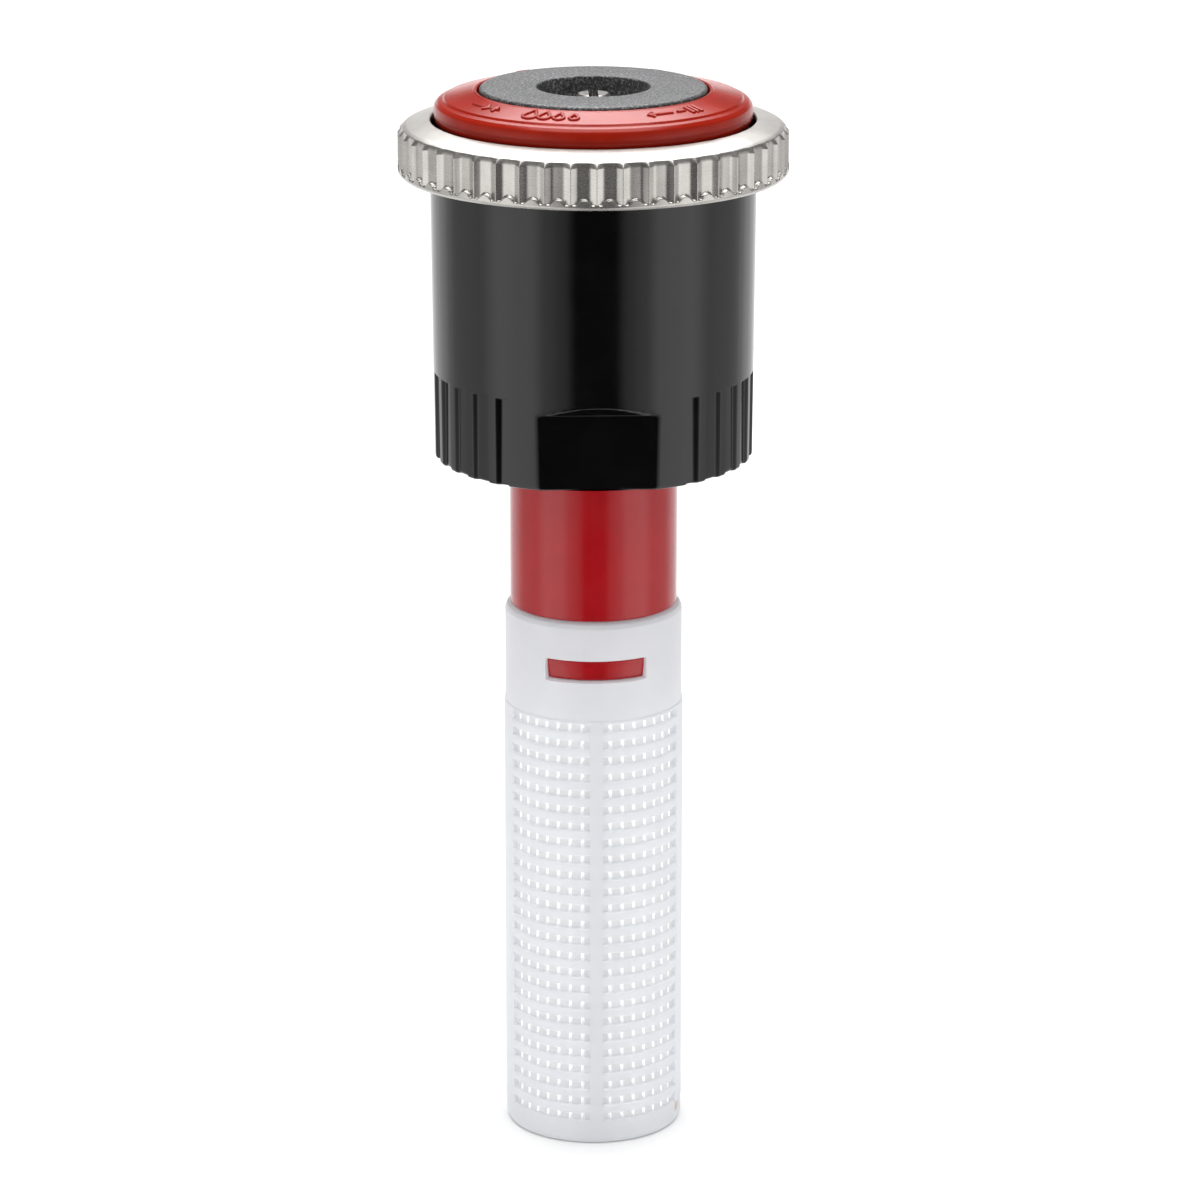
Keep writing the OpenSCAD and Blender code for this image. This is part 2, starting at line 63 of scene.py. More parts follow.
# Radii
RIB_R = 6.65
RIB_IN = 5.65
COLLAR_R = 6.55
COLLAR_IN = 5.55
STEM_R = 6.17
STEM_BORE_R = 4.7
BODY_RIM_R = 11.65
BODY_TOP_R = 11.83
THREAD_R = 7.94
RING_R = 14.15
MOUTH_R = 11.75
CAP_R = 8.22
CAP_SEAT_R = 8.42
WELL_R = 4.07
SHAFT_R = 1.6
SHAFT_BORE_R = 1.65


# ---------------------------------------------------------------- mesh helpers

def point(r, z, theta):
    """A place in millimetres: theta runs from the front (-Y) towards +X, in degrees."""
    a = math.radians(theta)
    return Vector((r * math.sin(a), -r * math.cos(a), z))


def mix(a, b, t):
    """The value a share t of the way from a to b."""
    return a + (b - a) * t


def smooth_step(t):
    """0 below 0, 1 above 1, and a smooth rise between."""
    t = min(max(t, 0.0), 1.0)
    return t * t * (3 - 2 * t)


def soft_min(a, b, k):
    """The smaller of two values, rounded off where they cross."""
    h = max(k - abs(a - b), 0) / max(k, 0.0001)
    return min(a, b) - h * h * k / 4


def rounded(corners, step=20):
    """A closed outline from (r, z, fillet) corners, with an arc at each fillet."""
    points = []
    for i, (x, y, fillet) in enumerate(corners):
        here = Vector((x, y))
        back = Vector(corners[i - 1][:2]) - here
        on = Vector(corners[(i + 1) % len(corners)][:2]) - here
        half = back.angle(on) / 2 if back.length and on.length else math.pi / 2
        if fillet <= 0 or half > math.pi / 2 - 0.02:
            points.append((x, y))
            continue
        reach = min(fillet / math.tan(half), 0.48 * back.length, 0.48 * on.length)
        radius = reach * math.tan(half)
        middle = here + (back.normalized() + on.normalized()).normalized() * radius / math.sin(half)
        start = here + back.normalized() * reach - middle
        end = here + on.normalized() * reach - middle
        first = math.atan2(start.y, start.x)
        turn = (math.atan2(end.y, end.x) - first + math.pi) % math.tau - math.pi
        count = max(2, math.ceil(abs(math.degrees(turn)) / step))
        for k in range(count + 1):
            a = first + turn * k / count
            points.append((middle.x + radius * math.cos(a), middle.y + radius * math.sin(a)))
    return points


def with_heights(outline, r_min, heights):
    """The outline with extra points where its outer wall passes the given heights."""
    result = []
    for i, (r, z) in enumerate(outline):
        result.append((r, z))
        r2, z2 = outline[(i + 1) % len(outline)]
        if min(r, r2) < r_min or abs(z2 - z) < 0.5:
            continue
        inside = [h for h in heights if min(z, z2) + 0.01 < h < max(z, z2) - 0.01]
        for h in sorted(inside, reverse=z2 < z):
            result.append((mix(r, r2, (h - z) / (z2 - z)), h))
    return result


def even(count):
    """Angles of count equal steps round the axis."""
    return [360 * i / count for i in range(count)]


def around_axis(angles):
    """Sorted angles in one turn, without near repeats."""
    result = []
    for a in sorted(a % 360 for a in angles):
        if not result or a - result[-1] > 0.02:
            result.append(a)
    if len(result) > 1 and result[0] + 360 - result[-1] < 0.02:
        result.pop()
    return result


def lathe(bm, outline, angles, shape=None, whole=True):
    """Adds a turned solid to bm. shape(r, z, theta) may move a point of it."""
    rings = []
    for theta in angles:
        ring = []
        for r, z in outline:
            place = shape(r, z, theta) if shape else (r, z, theta)
            ring.append(bm.verts.new(point(*place)))
        rings.append(ring)
    for i in range(len(rings) if whole else len(rings) - 1):
        a, b = rings[i], rings[(i + 1) % len(rings)]
        for j in range(len(outline)):
            k = (j + 1) % len(outline)
            bm.faces.new((a[j], b[j], b[k], a[k]))
    return rings


def sector(bm, outline, start, end, step=3.0, shape=None):
    """Adds part of a turned solid, closed at both ends."""
    count = max(1, math.ceil((end - start) / step))
    angles = [mix(start, end, i / count) for i in range(count + 1)]
    rings = lathe(bm, outline, angles, shape, whole=False)
    bm.faces.new(rings[0])
    bm.faces.new(list(reversed(rings[-1])))


def tube_along(bm, path, radius, sides=8, loop=False):
    """Adds a thin round tube along a list of points in millimetres."""
    rings = []
    count = len(path)
    for i, place in enumerate(path):
        before = path[i - 1] if (loop or i) else place
        after = path[(i + 1) % count] if (loop or i < count - 1) else place
        way = (after - before).normalized()
        across = way.cross(Vector((0, 0, 1))).normalized()
        up = across.cross(way)
        ring = []
        for j in range(sides):
            a = math.tau * j / sides
            ring.append(bm.verts.new(place + radius * (across * math.cos(a) + up * math.sin(a))))
        rings.append(ring)
    for i in range(count if loop else count - 1):
        a, b = rings[i], rings[(i + 1) % count]
        for j in range(sides):
            k = (j + 1) % sides
            bm.faces.new((a[j], b[j], b[k], a[k]))
    if not loop:
        bm.faces.new(rings[0])
        bm.faces.new(list(reversed(rings[-1])))


def finished(bm, name, material, sharp=42):
    """Turns bm, in millimetres, into an object in metres with smooth shading."""
    bmesh.ops.remove_doubles(bm, verts=bm.verts, dist=0.0008)
    bmesh.ops.recalc_face_normals(bm, faces=bm.faces)
    bmesh.ops.scale(bm, vec=(MM, MM, MM), verts=bm.verts)
    mesh = bpy.data.meshes.new(name)
    bm.to_mesh(mesh)
    bm.free()
    mesh.shade_smooth()
    mesh.set_sharp_from_angle(angle=math.radians(sharp))
    mesh.materials.append(material)
    obj = bpy.data.objects.new(name, mesh)
    bpy.context.scene.collection.objects.link(obj)
    return obj


def turned(name, material, corners, count=192, sharp=42, shape=None, angles=None):
    """One turned piece from rounded corners."""
    bm = bmesh.new()
    lathe(bm, rounded(corners), angles or even(count), shape)
    return finished(bm, name, material, sharp)


def baked(obj, sharp=42):
    """Applies the modifiers of obj to its mesh."""
    bpy.context.view_layer.update()
    graph = bpy.context.evaluated_depsgraph_get()
    mesh = bpy.data.meshes.new_from_object(obj.evaluated_get(graph), depsgraph=graph)
    obj.modifiers.clear()
    old = obj.data
    obj.data = mesh
    bpy.data.meshes.remove(old)
    mesh.shade_smooth()
    mesh.set_sharp_from_angle(angle=math.radians(sharp))
    return obj


def cut(obj, bm, sharp=42):
    """Takes the solids of bm, in millimetres, out of obj."""
    tool = finished(bm, obj.name + "_tool", obj.data.materials[0])
    modifier = obj.modifiers.new("cut", "BOOLEAN")
    modifier.operation = "DIFFERENCE"
    modifier.solver = "EXACT"
    modifier.object = tool
    baked(obj, sharp)
    bpy.data.objects.remove(tool)
    return obj


def block(bm, low, high):
    """Adds a box between two corners in millimetres."""
    corners = [
        bm.verts.new((x, y, z))
        for x in (low[0], high[0]) for y in (low[1], high[1]) for z in (low[2], high[2])
    ]
    for face in ((0, 1, 3, 2), (4, 6, 7, 5), (0, 4, 5, 1), (2, 3, 7, 6), (0, 2, 6, 4), (1, 5, 7, 3)):
        bm.faces.new([corners[i] for i in face])


def show(obj, body, slot, *nodes):
    """Puts a finished piece on its body, in place of CAD nodes. The slot is not used."""
    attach(obj, body)
    if nodes:
        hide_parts(*nodes)
    return obj


# ---------------------------------------------------------------- geometry node trees

def new_tree(name, sockets):
    """An empty geometry tree with named inputs, given as (name, type, default)."""
    tree = bpy.data.node_groups.new(name, "GeometryNodeTree")
    tree.interface.new_socket("Geometry", in_out="INPUT", socket_type="NodeSocketGeometry")
    for label, kind, default in sockets:
        socket = tree.interface.new_socket(label, in_out="INPUT", socket_type=kind)
        if default is not None:
            socket.default_value = default
    tree.interface.new_socket("Geometry", in_out="OUTPUT", socket_type="NodeSocketGeometry")
    start = tree.nodes.new("NodeGroupInput")
    end = tree.nodes.new("NodeGroupOutput")
    return tree, start, end


def copies_tree():
    """Copies of the input, each lifted and turned by one step from the last."""
    tree, start, end = new_tree("Stepped copies", [
        ("Count", "NodeSocketInt", 2), ("Turn", "NodeSocketFloat", 0.0),
        ("Rise", "NodeSocketFloat", 0.0), ("Weld", "NodeSocketFloat", 0.0),
        ("Material", "NodeSocketMaterial", None),
    ])
    nodes, links = tree.nodes, tree.links
    line = nodes.new("GeometryNodeMeshLine")
    rise = nodes.new("ShaderNodeCombineXYZ")
    index = nodes.new("GeometryNodeInputIndex")
    turn = nodes.new("ShaderNodeMath")
    turn.operation = "MULTIPLY"
    rotation = nodes.new("ShaderNodeCombineXYZ")
    instances = nodes.new("GeometryNodeInstanceOnPoints")
    real = nodes.new("GeometryNodeRealizeInstances")
    weld = nodes.new("GeometryNodeMergeByDistance")
    paint = nodes.new("GeometryNodeSetMaterial")
    links.new(start.outputs["Count"], line.inputs["Count"])
    links.new(start.outputs["Rise"], rise.inputs["Z"])
    links.new(rise.outputs[0], line.inputs["Offset"])
    links.new(index.outputs[0], turn.inputs[0])
    links.new(start.outputs["Turn"], turn.inputs[1])
    links.new(turn.outputs[0], rotation.inputs["Z"])
    links.new(line.outputs[0], instances.inputs["Points"])
    links.new(start.outputs["Geometry"], instances.inputs["Instance"])
    links.new(rotation.outputs[0], instances.inputs["Rotation"])
    links.new(instances.outputs[0], real.inputs[0])
    links.new(real.outputs[0], weld.inputs["Geometry"])
    links.new(start.outputs["Weld"], weld.inputs["Distance"])
    links.new(weld.outputs[0], paint.inputs["Geometry"])
    links.new(start.outputs["Material"], paint.inputs["Material"])
    links.new(paint.outputs[0], end.inputs[0])
    return tree


def coil_tree():
    """A coil of wire from the origin up the Z axis."""
    tree, start, end = new_tree("Coil", [
        ("Turns", "NodeSocketFloat", 6.0), ("Radius", "NodeSocketFloat", 0.003),
        ("Height", "NodeSocketFloat", 0.01), ("Wire", "NodeSocketFloat", 0.0003),
        ("Sides", "NodeSocketInt", 10), ("Steps", "NodeSocketInt", 48),
        ("Material", "NodeSocketMaterial", None),
    ])
    nodes, links = tree.nodes, tree.links
    spiral = nodes.new("GeometryNodeCurveSpiral")
    circle = nodes.new("GeometryNodeCurvePrimitiveCircle")
    wire = nodes.new("GeometryNodeCurveToMesh")
    wire.inputs["Fill Caps"].default_value = True
    real = nodes.new("GeometryNodeRealizeInstances")
    paint = nodes.new("GeometryNodeSetMaterial")
    links.new(start.outputs["Steps"], spiral.inputs["Resolution"])
    links.new(start.outputs["Turns"], spiral.inputs["Rotations"])
    links.new(start.outputs["Radius"], spiral.inputs["Start Radius"])
    links.new(start.outputs["Radius"], spiral.inputs["End Radius"])
    links.new(start.outputs["Height"], spiral.inputs["Height"])
    links.new(start.outputs["Sides"], circle.inputs["Resolution"])
    links.new(start.outputs["Wire"], circle.inputs["Radius"])
    links.new(spiral.outputs[0], wire.inputs["Curve"])
    links.new(circle.outputs["Curve"], wire.inputs["Profile Curve"])
    links.new(wire.outputs[0], real.inputs[0])
    links.new(real.outputs[0], paint.inputs["Geometry"])
    links.new(start.outputs["Material"], paint.inputs["Material"])
    links.new(paint.outputs[0], end.inputs[0])
    return tree


def run_tree(obj, tree, values, sharp=42):
    """Gives obj the tree with these inputs, and bakes the result into a plain mesh."""
    modifier = obj.modifiers.new(tree.name, "NODES")
    modifier.node_group = tree
    for item in tree.interface.items_tree:
        if item.in_out == "INPUT" and item.name in values:
            modifier[item.identifier] = values[item.name]
    return baked(obj, sharp)


def repeated(bm, name, material, count, turn=0.0, rise=0.0, weld=0.0, sharp=42):
    """bm, in millimetres, copied count times with a turn in degrees and a rise in mm."""
    obj = finished(bm, name, material, sharp)
    values = {
        "Count": count, "Turn": math.radians(turn), "Rise": rise * MM, "Weld": weld * MM,
        "Material": material,
    }
    return run_tree(obj, COPIES, values, sharp)


def coil(name, material, turns, radius, low, high, wire, sides=10, sharp=60):
    """A coil of round wire between two heights in millimetres."""
    bm = bmesh.new()
    bm.verts.new((0, 0, 0))
    obj = finished(bm, name, material)
    values = {
        "Turns": float(turns), "Radius": radius * MM, "Height": (high - low - 2 * wire) * MM,
        "Wire": wire * MM, "Sides": sides, "Steps": 56, "Material": material,
    }
    run_tree(obj, COIL, values, sharp)
    for vertex in obj.data.vertices:
        vertex.co.z += (low + wire) * MM
    return obj


# ---------------------------------------------------------------- shader groups

def shader_group(name, inputs, outputs):
    """An empty shader group with named inputs (name, type, default) and outputs."""
    tree = bpy.data.node_groups.new(name, "ShaderNodeTree")
    for label, kind, default in inputs:
        socket = tree.interface.new_socket(label, in_out="INPUT", socket_type=kind)
        if default is not None:
            socket.default_value = default
    for label, kind in outputs:
        tree.interface.new_socket(label, in_out="OUTPUT", socket_type=kind)
    return tree, tree.nodes.new("NodeGroupInput"), tree.nodes.new("NodeGroupOutput")


def node(tree, kind, links=None, **values):
    """A new node: values that name an input set it, others set a property."""
    made = tree.nodes.new(kind)
    for key, value in values.items():
        setattr(made, key, value)
    for key, source in (links or {}).items():
        if isinstance(source, bpy.types.NodeSocket):
            tree.links.new(source, made.inputs[key])
        else:
            made.inputs[key].default_value = source
    return made


def ramp(tree, source, low, high, steep=True):
    """A mask that rises from 0 at low to 1 at high."""
    made = tree.nodes.new("ShaderNodeMapRange")
    made.interpolation_type = "SMOOTHSTEP" if steep else "LINEAR"
    tree.links.new(source, made.inputs["Value"])
    made.inputs["From Min"].default_value = low
    made.inputs["From Max"].default_value = high
    return made.outputs[0]


def grain_group():
    """Fine moulded grain with slow waves under it, as a normal and as a mask."""
    tree, start, end = shader_group(
        "Mould grain",
        [("Grain", "NodeSocketFloat", 9000.0), ("Depth", "NodeSocketFloat", 0.15),
         ("Waves", "NodeSocketFloat", 0.06)],
        [("Mask", "NodeSocketFloat"), ("Normal", "NodeSocketVector")],
    )
    where = node(tree, "ShaderNodeTexCoord").outputs["Object"]
    fine = node(tree, "ShaderNodeTexNoise", {
        "Vector": where, "Scale": start.outputs["Grain"], "Detail": 3.0, "Roughness": 0.6,
    }).outputs[0]
    slow = node(tree, "ShaderNodeTexNoise", {"Vector": where, "Scale": 260.0, "Detail": 2.0}).outputs[0]
    deep = node(tree, "ShaderNodeBump", {
        "Strength": start.outputs["Waves"], "Distance": 0.0004, "Height": slow,
    }).outputs[0]
    bump = node(tree, "ShaderNodeBump", {
        "Strength": start.outputs["Depth"], "Distance": 0.00003, "Height": fine, "Normal": deep,
    }).outputs[0]
    mask = node(tree, "ShaderNodeMath", {0: fine, 1: slow}, operation="MULTIPLY").outputs[0]
    tree.links.new(mask, end.inputs["Mask"])
    tree.links.new(bump, end.inputs["Normal"])
    return tree


def dust_group():
    """Fine dust that settles on what faces up, as a mask."""
    tree, start, end = shader_group(
        "Dust", [("Amount", "NodeSocketFloat", 0.3)], [("Mask", "NodeSocketFloat")]
    )
    where = node(tree, "ShaderNodeTexCoord").outputs["Object"]
    normal = node(tree, "ShaderNodeNewGeometry").outputs["Normal"]
    up = node(tree, "ShaderNodeSeparateXYZ", {"Vector": normal}).outputs["Z"]
    facing = ramp(tree, up, -0.05, 0.9, False)
    patches = node(tree, "ShaderNodeTexNoise", {
        "Vector": where, "Scale": 700.0, "Detail": 5.0, "Roughness": 0.65,
    }).outputs[0]
    specks = node(tree, "ShaderNodeTexNoise", {
        "Vector": where, "Scale": 6500.0, "Detail": 2.0,
    }).outputs[0]
    spotted = node(tree, "ShaderNodeMath", {
        0: ramp(tree, specks, 0.56, 0.72), 1: ramp(tree, patches, 0.38, 0.66),
    }, operation="MULTIPLY").outputs[0]
    shaped = node(tree, "ShaderNodeMath", {0: spotted, 1: facing}, operation="MULTIPLY").outputs[0]
    mask = node(tree, "ShaderNodeMath", {0: shaped, 1: start.outputs["Amount"]}, operation="MULTIPLY")
    tree.links.new(mask.outputs[0], end.inputs["Mask"])
    return tree


def wear_group():
    """Wear along raised edges, broken up by noise, as a mask."""
    tree, start, end = shader_group(
        "Edge wear",
        [("Amount", "NodeSocketFloat", 0.5), ("Scale", "NodeSocketFloat", 1800.0)],
        [("Mask", "NodeSocketFloat")],
    )
    where = node(tree, "ShaderNodeTexCoord").outputs["Object"]
    edge = node(tree, "ShaderNodeNewGeometry").outputs["Pointiness"]
    raised = ramp(tree, edge, 0.52, 0.62)
    noise = node(tree, "ShaderNodeTexNoise", {
        "Vector": where, "Scale": start.outputs["Scale"], "Detail": 4.0,
    }).outputs[0]
    broken = node(tree, "ShaderNodeMath", {
        0: raised, 1: ramp(tree, noise, 0.35, 0.7),
    }, operation="MULTIPLY").outputs[0]
    mask = node(tree, "ShaderNodeMath", {
        0: broken, 1: start.outputs["Amount"],
    }, operation="MULTIPLY").outputs[0]
    tree.links.new(mask, end.inputs["Mask"])
    return tree


def lines_group():
    """Fine lines stretched along one direction, as a mask and a normal."""
    tree, start, end = shader_group(
        "Drawn lines",
        [("Stretch", "NodeSocketVector", (1.0, 1.0, 1.0)), ("Scale", "NodeSocketFloat", 4000.0),
         ("Depth", "NodeSocketFloat", 0.1)],
        [("Mask", "NodeSocketFloat"), ("Normal", "NodeSocketVector")],
    )
    where = node(tree, "ShaderNodeTexCoord").outputs["Object"]
    stretched = node(tree, "ShaderNodeVectorMath", {
        0: where, 1: start.outputs["Stretch"],
    }, operation="MULTIPLY").outputs[0]
    noise = node(tree, "ShaderNodeTexNoise", {
        "Vector": stretched, "Scale": start.outputs["Scale"], "Detail": 5.0, "Roughness": 0.7,
    }).outputs[0]
    bump = node(tree, "ShaderNodeBump", {
        "Strength": start.outputs["Depth"], "Distance": 0.00003, "Height": noise,
    }).outputs[0]
    tree.links.new(noise, end.inputs["Mask"])
    tree.links.new(bump, end.inputs["Normal"])
    return tree


# ---------------------------------------------------------------- materials

def clouds(tree, scale, detail):
    """Soft noise over the piece."""
    where = node(tree, "ShaderNodeTexCoord").outputs["Object"]
    return node(tree, "ShaderNodeTexNoise", {"Vector": where, "Scale": scale, "Detail": detail}).outputs[0]


def new_material(name):
    """A material, its tree and its Principled node."""
    material = bpy.data.materials.new(name)
    material.use_nodes = True
    tree = material.node_tree
    return material, tree, tree.nodes["Principled BSDF"]


def use(tree, group, **inputs):
    """A group node with some of its inputs set by name."""
    made = tree.nodes.new("ShaderNodeGroup")
    made.node_tree = group
    for label, value in inputs.items():
        made.inputs[label].default_value = value
    return made


def mixed(tree, mask, first, second):
    """A colour between first and second by the mask. Either may be a socket."""
    made = tree.nodes.new("ShaderNodeMix")
    made.data_type = "RGBA"
    tree.links.new(mask, made.inputs[0])
    for index, value in ((6, first), (7, second)):
        if isinstance(value, bpy.types.NodeSocket):
            tree.links.new(value, made.inputs[index])
        else:
            made.inputs[index].default_value = (*value, 1.0)
    return made.outputs[2]


def plastic(name, colour, shade, rough, rough_more, dust=0.25, grain=0.15, waves=0.05, wear=0.3,
            worn=None, dusty=(0.55, 0.52, 0.48), grain_scale=9000.0):
    """Moulded plastic: grain, slow waves, worn edges and a little dust."""
    material, tree, shader = new_material(name)
    skin = use(tree, GRAIN, Grain=grain_scale, Depth=grain, Waves=waves)
    dirt = use(tree, DUST, Amount=dust)
    edges = use(tree, WEAR, Amount=wear)
    tone = mixed(tree, ramp(tree, clouds(tree, 420.0, 4.0), 0.3, 0.7), colour, shade)
    tone = mixed(tree, edges.outputs["Mask"], tone, worn or shade)
    tone = mixed(tree, dirt.outputs["Mask"], tone, dusty)
    tree.links.new(tone, shader.inputs["Base Color"])
    spread = node(tree, "ShaderNodeMapRange", {
        "Value": skin.outputs["Mask"], "From Min": 0.1, "From Max": 0.4,
        "To Min": rough, "To Max": rough_more,
    }).outputs[0]
    dulled = node(tree, "ShaderNodeMath", {
        0: spread, 1: dirt.outputs["Mask"],
    }, operation="ADD").outputs[0]
    tree.links.new(dulled, shader.inputs["Roughness"])
    tree.links.new(skin.outputs["Normal"], shader.inputs["Normal"])
    return material, tree, shader


def metal(name, colour, shade, rough, stretch, scale, depth, wear=0.2, satin=0.0, dust=0.12,
          bare=1.0, vary=0.14):
    """Bright metal with fine lines, stains and worn edges. What faces up is rougher by satin."""
    material, tree, shader = new_material(name)
    shader.inputs["Metallic"].default_value = bare
    lines = use(tree, LINES, Stretch=stretch, Scale=scale, Depth=depth)
    edges = use(tree, WEAR, Amount=wear)
    dirt = use(tree, DUST, Amount=dust)
    tone = mixed(tree, ramp(tree, clouds(tree, 600.0, 5.0), 0.35, 0.75), colour, shade)
    tone = mixed(tree, edges.outputs["Mask"], tone, (0.9, 0.89, 0.86))
    tone = mixed(tree, dirt.outputs["Mask"], tone, (0.4, 0.38, 0.35))
    tree.links.new(tone, shader.inputs["Base Color"])
    spread = node(tree, "ShaderNodeMapRange", {
        "Value": lines.outputs["Mask"], "From Min": 0.3, "From Max": 0.7,
        "To Min": rough, "To Max": rough + vary,
    }).outputs[0]
    normal = node(tree, "ShaderNodeNewGeometry").outputs["Normal"]
    up = node(tree, "ShaderNodeSeparateXYZ", {"Vector": normal}).outputs["Z"]
    duller = node(tree, "ShaderNodeMath", {
        0: ramp(tree, up, 0.5, 0.85), 1: satin, 2: spread,
    }, operation="MULTIPLY_ADD").outputs[0]
    tree.links.new(duller, shader.inputs["Roughness"])
    tree.links.new(lines.outputs["Normal"], shader.inputs["Normal"])
    return material


def black_plastic():
    """Gloss black of the nozzle body."""
    return plastic(
        "black_plastic", (0.0022, 0.0022, 0.0024), (0.0034, 0.0034, 0.0037), 0.05, 0.12,
        dust=0.05, grain=0.04, waves=0.035, wear=0.35, worn=(0.012, 0.012, 0.013),
    )[0]


def red_plastic(name, colour, shade, rough, gloss):
    """Red that light goes a little way into."""
    material, _, shader = plastic(
        name, colour, shade, rough, rough + 0.1,
        dust=0.04, grain=0.12, waves=0.05, wear=0.3, worn=(0.42, 0.04, 0.03),
        dusty=(0.5, 0.3, 0.26),
    )
    shader.inputs["Specular IOR Level"].default_value = gloss
    shader.inputs["Subsurface Weight"].default_value = 0.08
    shader.inputs["Subsurface Radius"].default_value = (1.0, 0.1, 0.08)
    shader.inputs["Subsurface Scale"].default_value = 0.0004
    return material


def grey_plastic():
    """Dark grey of the cap, with fine pale and dark specks."""
    material, tree, shader = plastic(
        "grey_plastic", (0.066, 0.067, 0.068), (0.046, 0.047, 0.048), 0.42, 0.55,
        dust=0.15, grain=0.9, waves=0.03, wear=0.3, worn=(0.16, 0.16, 0.16), grain_scale=6000.0,
    )
    where = node(tree, "ShaderNodeTexCoord").outputs["Object"]
    specks = node(tree, "ShaderNodeTexNoise", {
        "Vector": where, "Scale": 5200.0, "Detail": 3.0, "Roughness": 0.7,
    }).outputs[0]
    below = shader.inputs["Base Color"].links[0].from_socket
    tone = mixed(tree, ramp(tree, specks, 0.51, 0.64), below, (0.24, 0.24, 0.242))
    tone = mixed(tree, ramp(tree, specks, 0.48, 0.37), tone, (0.025, 0.025, 0.026))
    tree.links.new(tone, shader.inputs["Base Color"])
    return material


def white_plastic(name, colour, shade, glow, start, full):
    """Translucent white with a small moulding mark near the foot. Light inside the piece is painted as a
    glow of its faces by how they turn, an emission that no lamp gives: none where the cosine to the
    outward direction is start, and all of it where it is full."""
    material, tree, shader = plastic(
        name, colour, shade, 0.3, 0.42,
        dust=0.1, grain=0.1, waves=0.06, wear=0.2, worn=(0.93, 0.93, 0.94),
        dusty=(0.62, 0.58, 0.5),
    )
    where = node(tree, "ShaderNodeTexCoord").outputs["Object"]
    mark = point(RIB_R, 1.25, 70) * MM
    away = node(tree, "ShaderNodeVectorMath", {0: where, 1: tuple(mark)}, operation="DISTANCE")
    spot = ramp(tree, away.outputs["Value"], 0.0006, 0.00015)
    faint = node(tree, "ShaderNodeMath", {0: spot, 1: 0.6}, operation="MULTIPLY").outputs[0]
    below = shader.inputs["Base Color"].links[0].from_socket
    tone = mixed(tree, faint, below, (0.6, 0.4, 0.2))
    tree.links.new(tone, shader.inputs["Base Color"])
    # Painted glow: faces turned towards the axis emit a pale grey that stands in for light scattered
    # inside the basket.
    level = node(tree, "ShaderNodeVectorMath", {0: where, 1: (1.0, 1.0, 0.0)}, operation="MULTIPLY")
    outward = node(tree, "ShaderNodeVectorMath", {0: level.outputs[0]}, operation="NORMALIZE")
    facing = node(tree, "ShaderNodeVectorMath", {
        0: outward.outputs[0], 1: node(tree, "ShaderNodeNewGeometry").outputs["Normal"],
    }, operation="DOT_PRODUCT").outputs["Value"]
    inside = mixed(tree, ramp(tree, facing, start, full), (0.0, 0.0, 0.0), glow)
    tree.links.new(inside, shader.inputs["Emission Color"])
    shader.inputs["Emission Strength"].default_value = 1.0
    through = node(tree, "ShaderNodeBsdfTranslucent", {"Color": tone})
    both = node(tree, "ShaderNodeMixShader", {0: 0.22, 1: shader.outputs[0], 2: through.outputs[0]})
    tree.links.new(both.outputs[0], tree.nodes["Material Output"].inputs["Surface"])
    return material


def natural_plastic():
    """Uncoloured plastic of the pieces inside."""
    return plastic(
        "natural_plastic", (0.68, 0.66, 0.6), (0.62, 0.6, 0.54), 0.35, 0.5,
        dust=0.1, grain=0.12, waves=0.04, wear=0.2, worn=(0.75, 0.74, 0.7),
    )[0]


def seal_rubber():
    """Matt black rubber."""
    return plastic(
        "seal_rubber", (0.012, 0.012, 0.012), (0.02, 0.02, 0.02), 0.55, 0.75,
        dust=0.3, grain=0.5, waves=0.05, wear=0.3, worn=(0.05, 0.05, 0.05), grain_scale=5000.0,
    )[0]


# ---------------------------------------------------------------- nozzle body and riser parts

POCKET_HALF = 0.75
POCKET_DEPTH = 0.24
POCKET_TOP = RIM + 6.44
POCKET_EDGE = (-0.75, -0.4, -0.1, -0.06, -0.03, 0.0, 0.03, 0.06, 0.1)
POCKET_TURNS = [(i - 5) * 11 for i in range(11)]
FLAT_R = 10.86
FLAT_TOP = RIM + 5.44


def pocket_angles():
    """Angles that follow the side walls of the grip pockets, which lie along X."""
    angles = []
    for turn in map(math.radians, POCKET_TURNS):
        for off in (s * (POCKET_HALF + d) for s in (-1, 1) for d in POCKET_EDGE):
            theta = math.degrees(math.acos(-math.sin(turn) - off * math.cos(turn) / BODY_RIM_R))
            angles += [theta, -theta]
    return angles


def pocket_mask(z, theta):
    """1 inside a grip pocket, 0 outside, with a slightly rounded edge."""
    y = -math.cos(math.radians(theta)) * BODY_RIM_R
    turns = map(math.radians, POCKET_TURNS)
    off = min(abs(y - BODY_RIM_R * math.sin(t)) / math.cos(t) for t in turns)
    side = smooth_step((POCKET_HALF + 0.06 - off) / 0.12)
    return side * smooth_step((POCKET_TOP + 0.07 - z) / 0.14)


def body_shape(r, z, theta):
    """Moves the outer wall in for the wrench flats, and along X for the grip pockets."""
    if r < 11.15 or z > SHOULDER - 0.1:
        return r, z, theta
    base = mix(BODY_RIM_R, BODY_TOP_R, (z - RIM) / (SHOULDER - RIM))
    slope = math.radians(min(theta % 180, 180 - theta % 180))
    if slope < 0.6:
        flat = (FLAT_R + max(0.0, z - FLAT_TOP)) / math.cos(slope)
        return r + soft_min(base, flat, 0.05) - base, z, theta
    mask = pocket_mask(z, theta)
    if mask <= 0:
        return r, z, theta
    inner = r - mask * (base - BODY_RIM_R + POCKET_DEPTH)
    y = r * math.cos(math.radians(theta))
    x = math.copysign(math.sqrt(inner * inner - y * y), math.sin(math.radians(theta)))
    return inner, z, math.degrees(math.atan2(x, y))


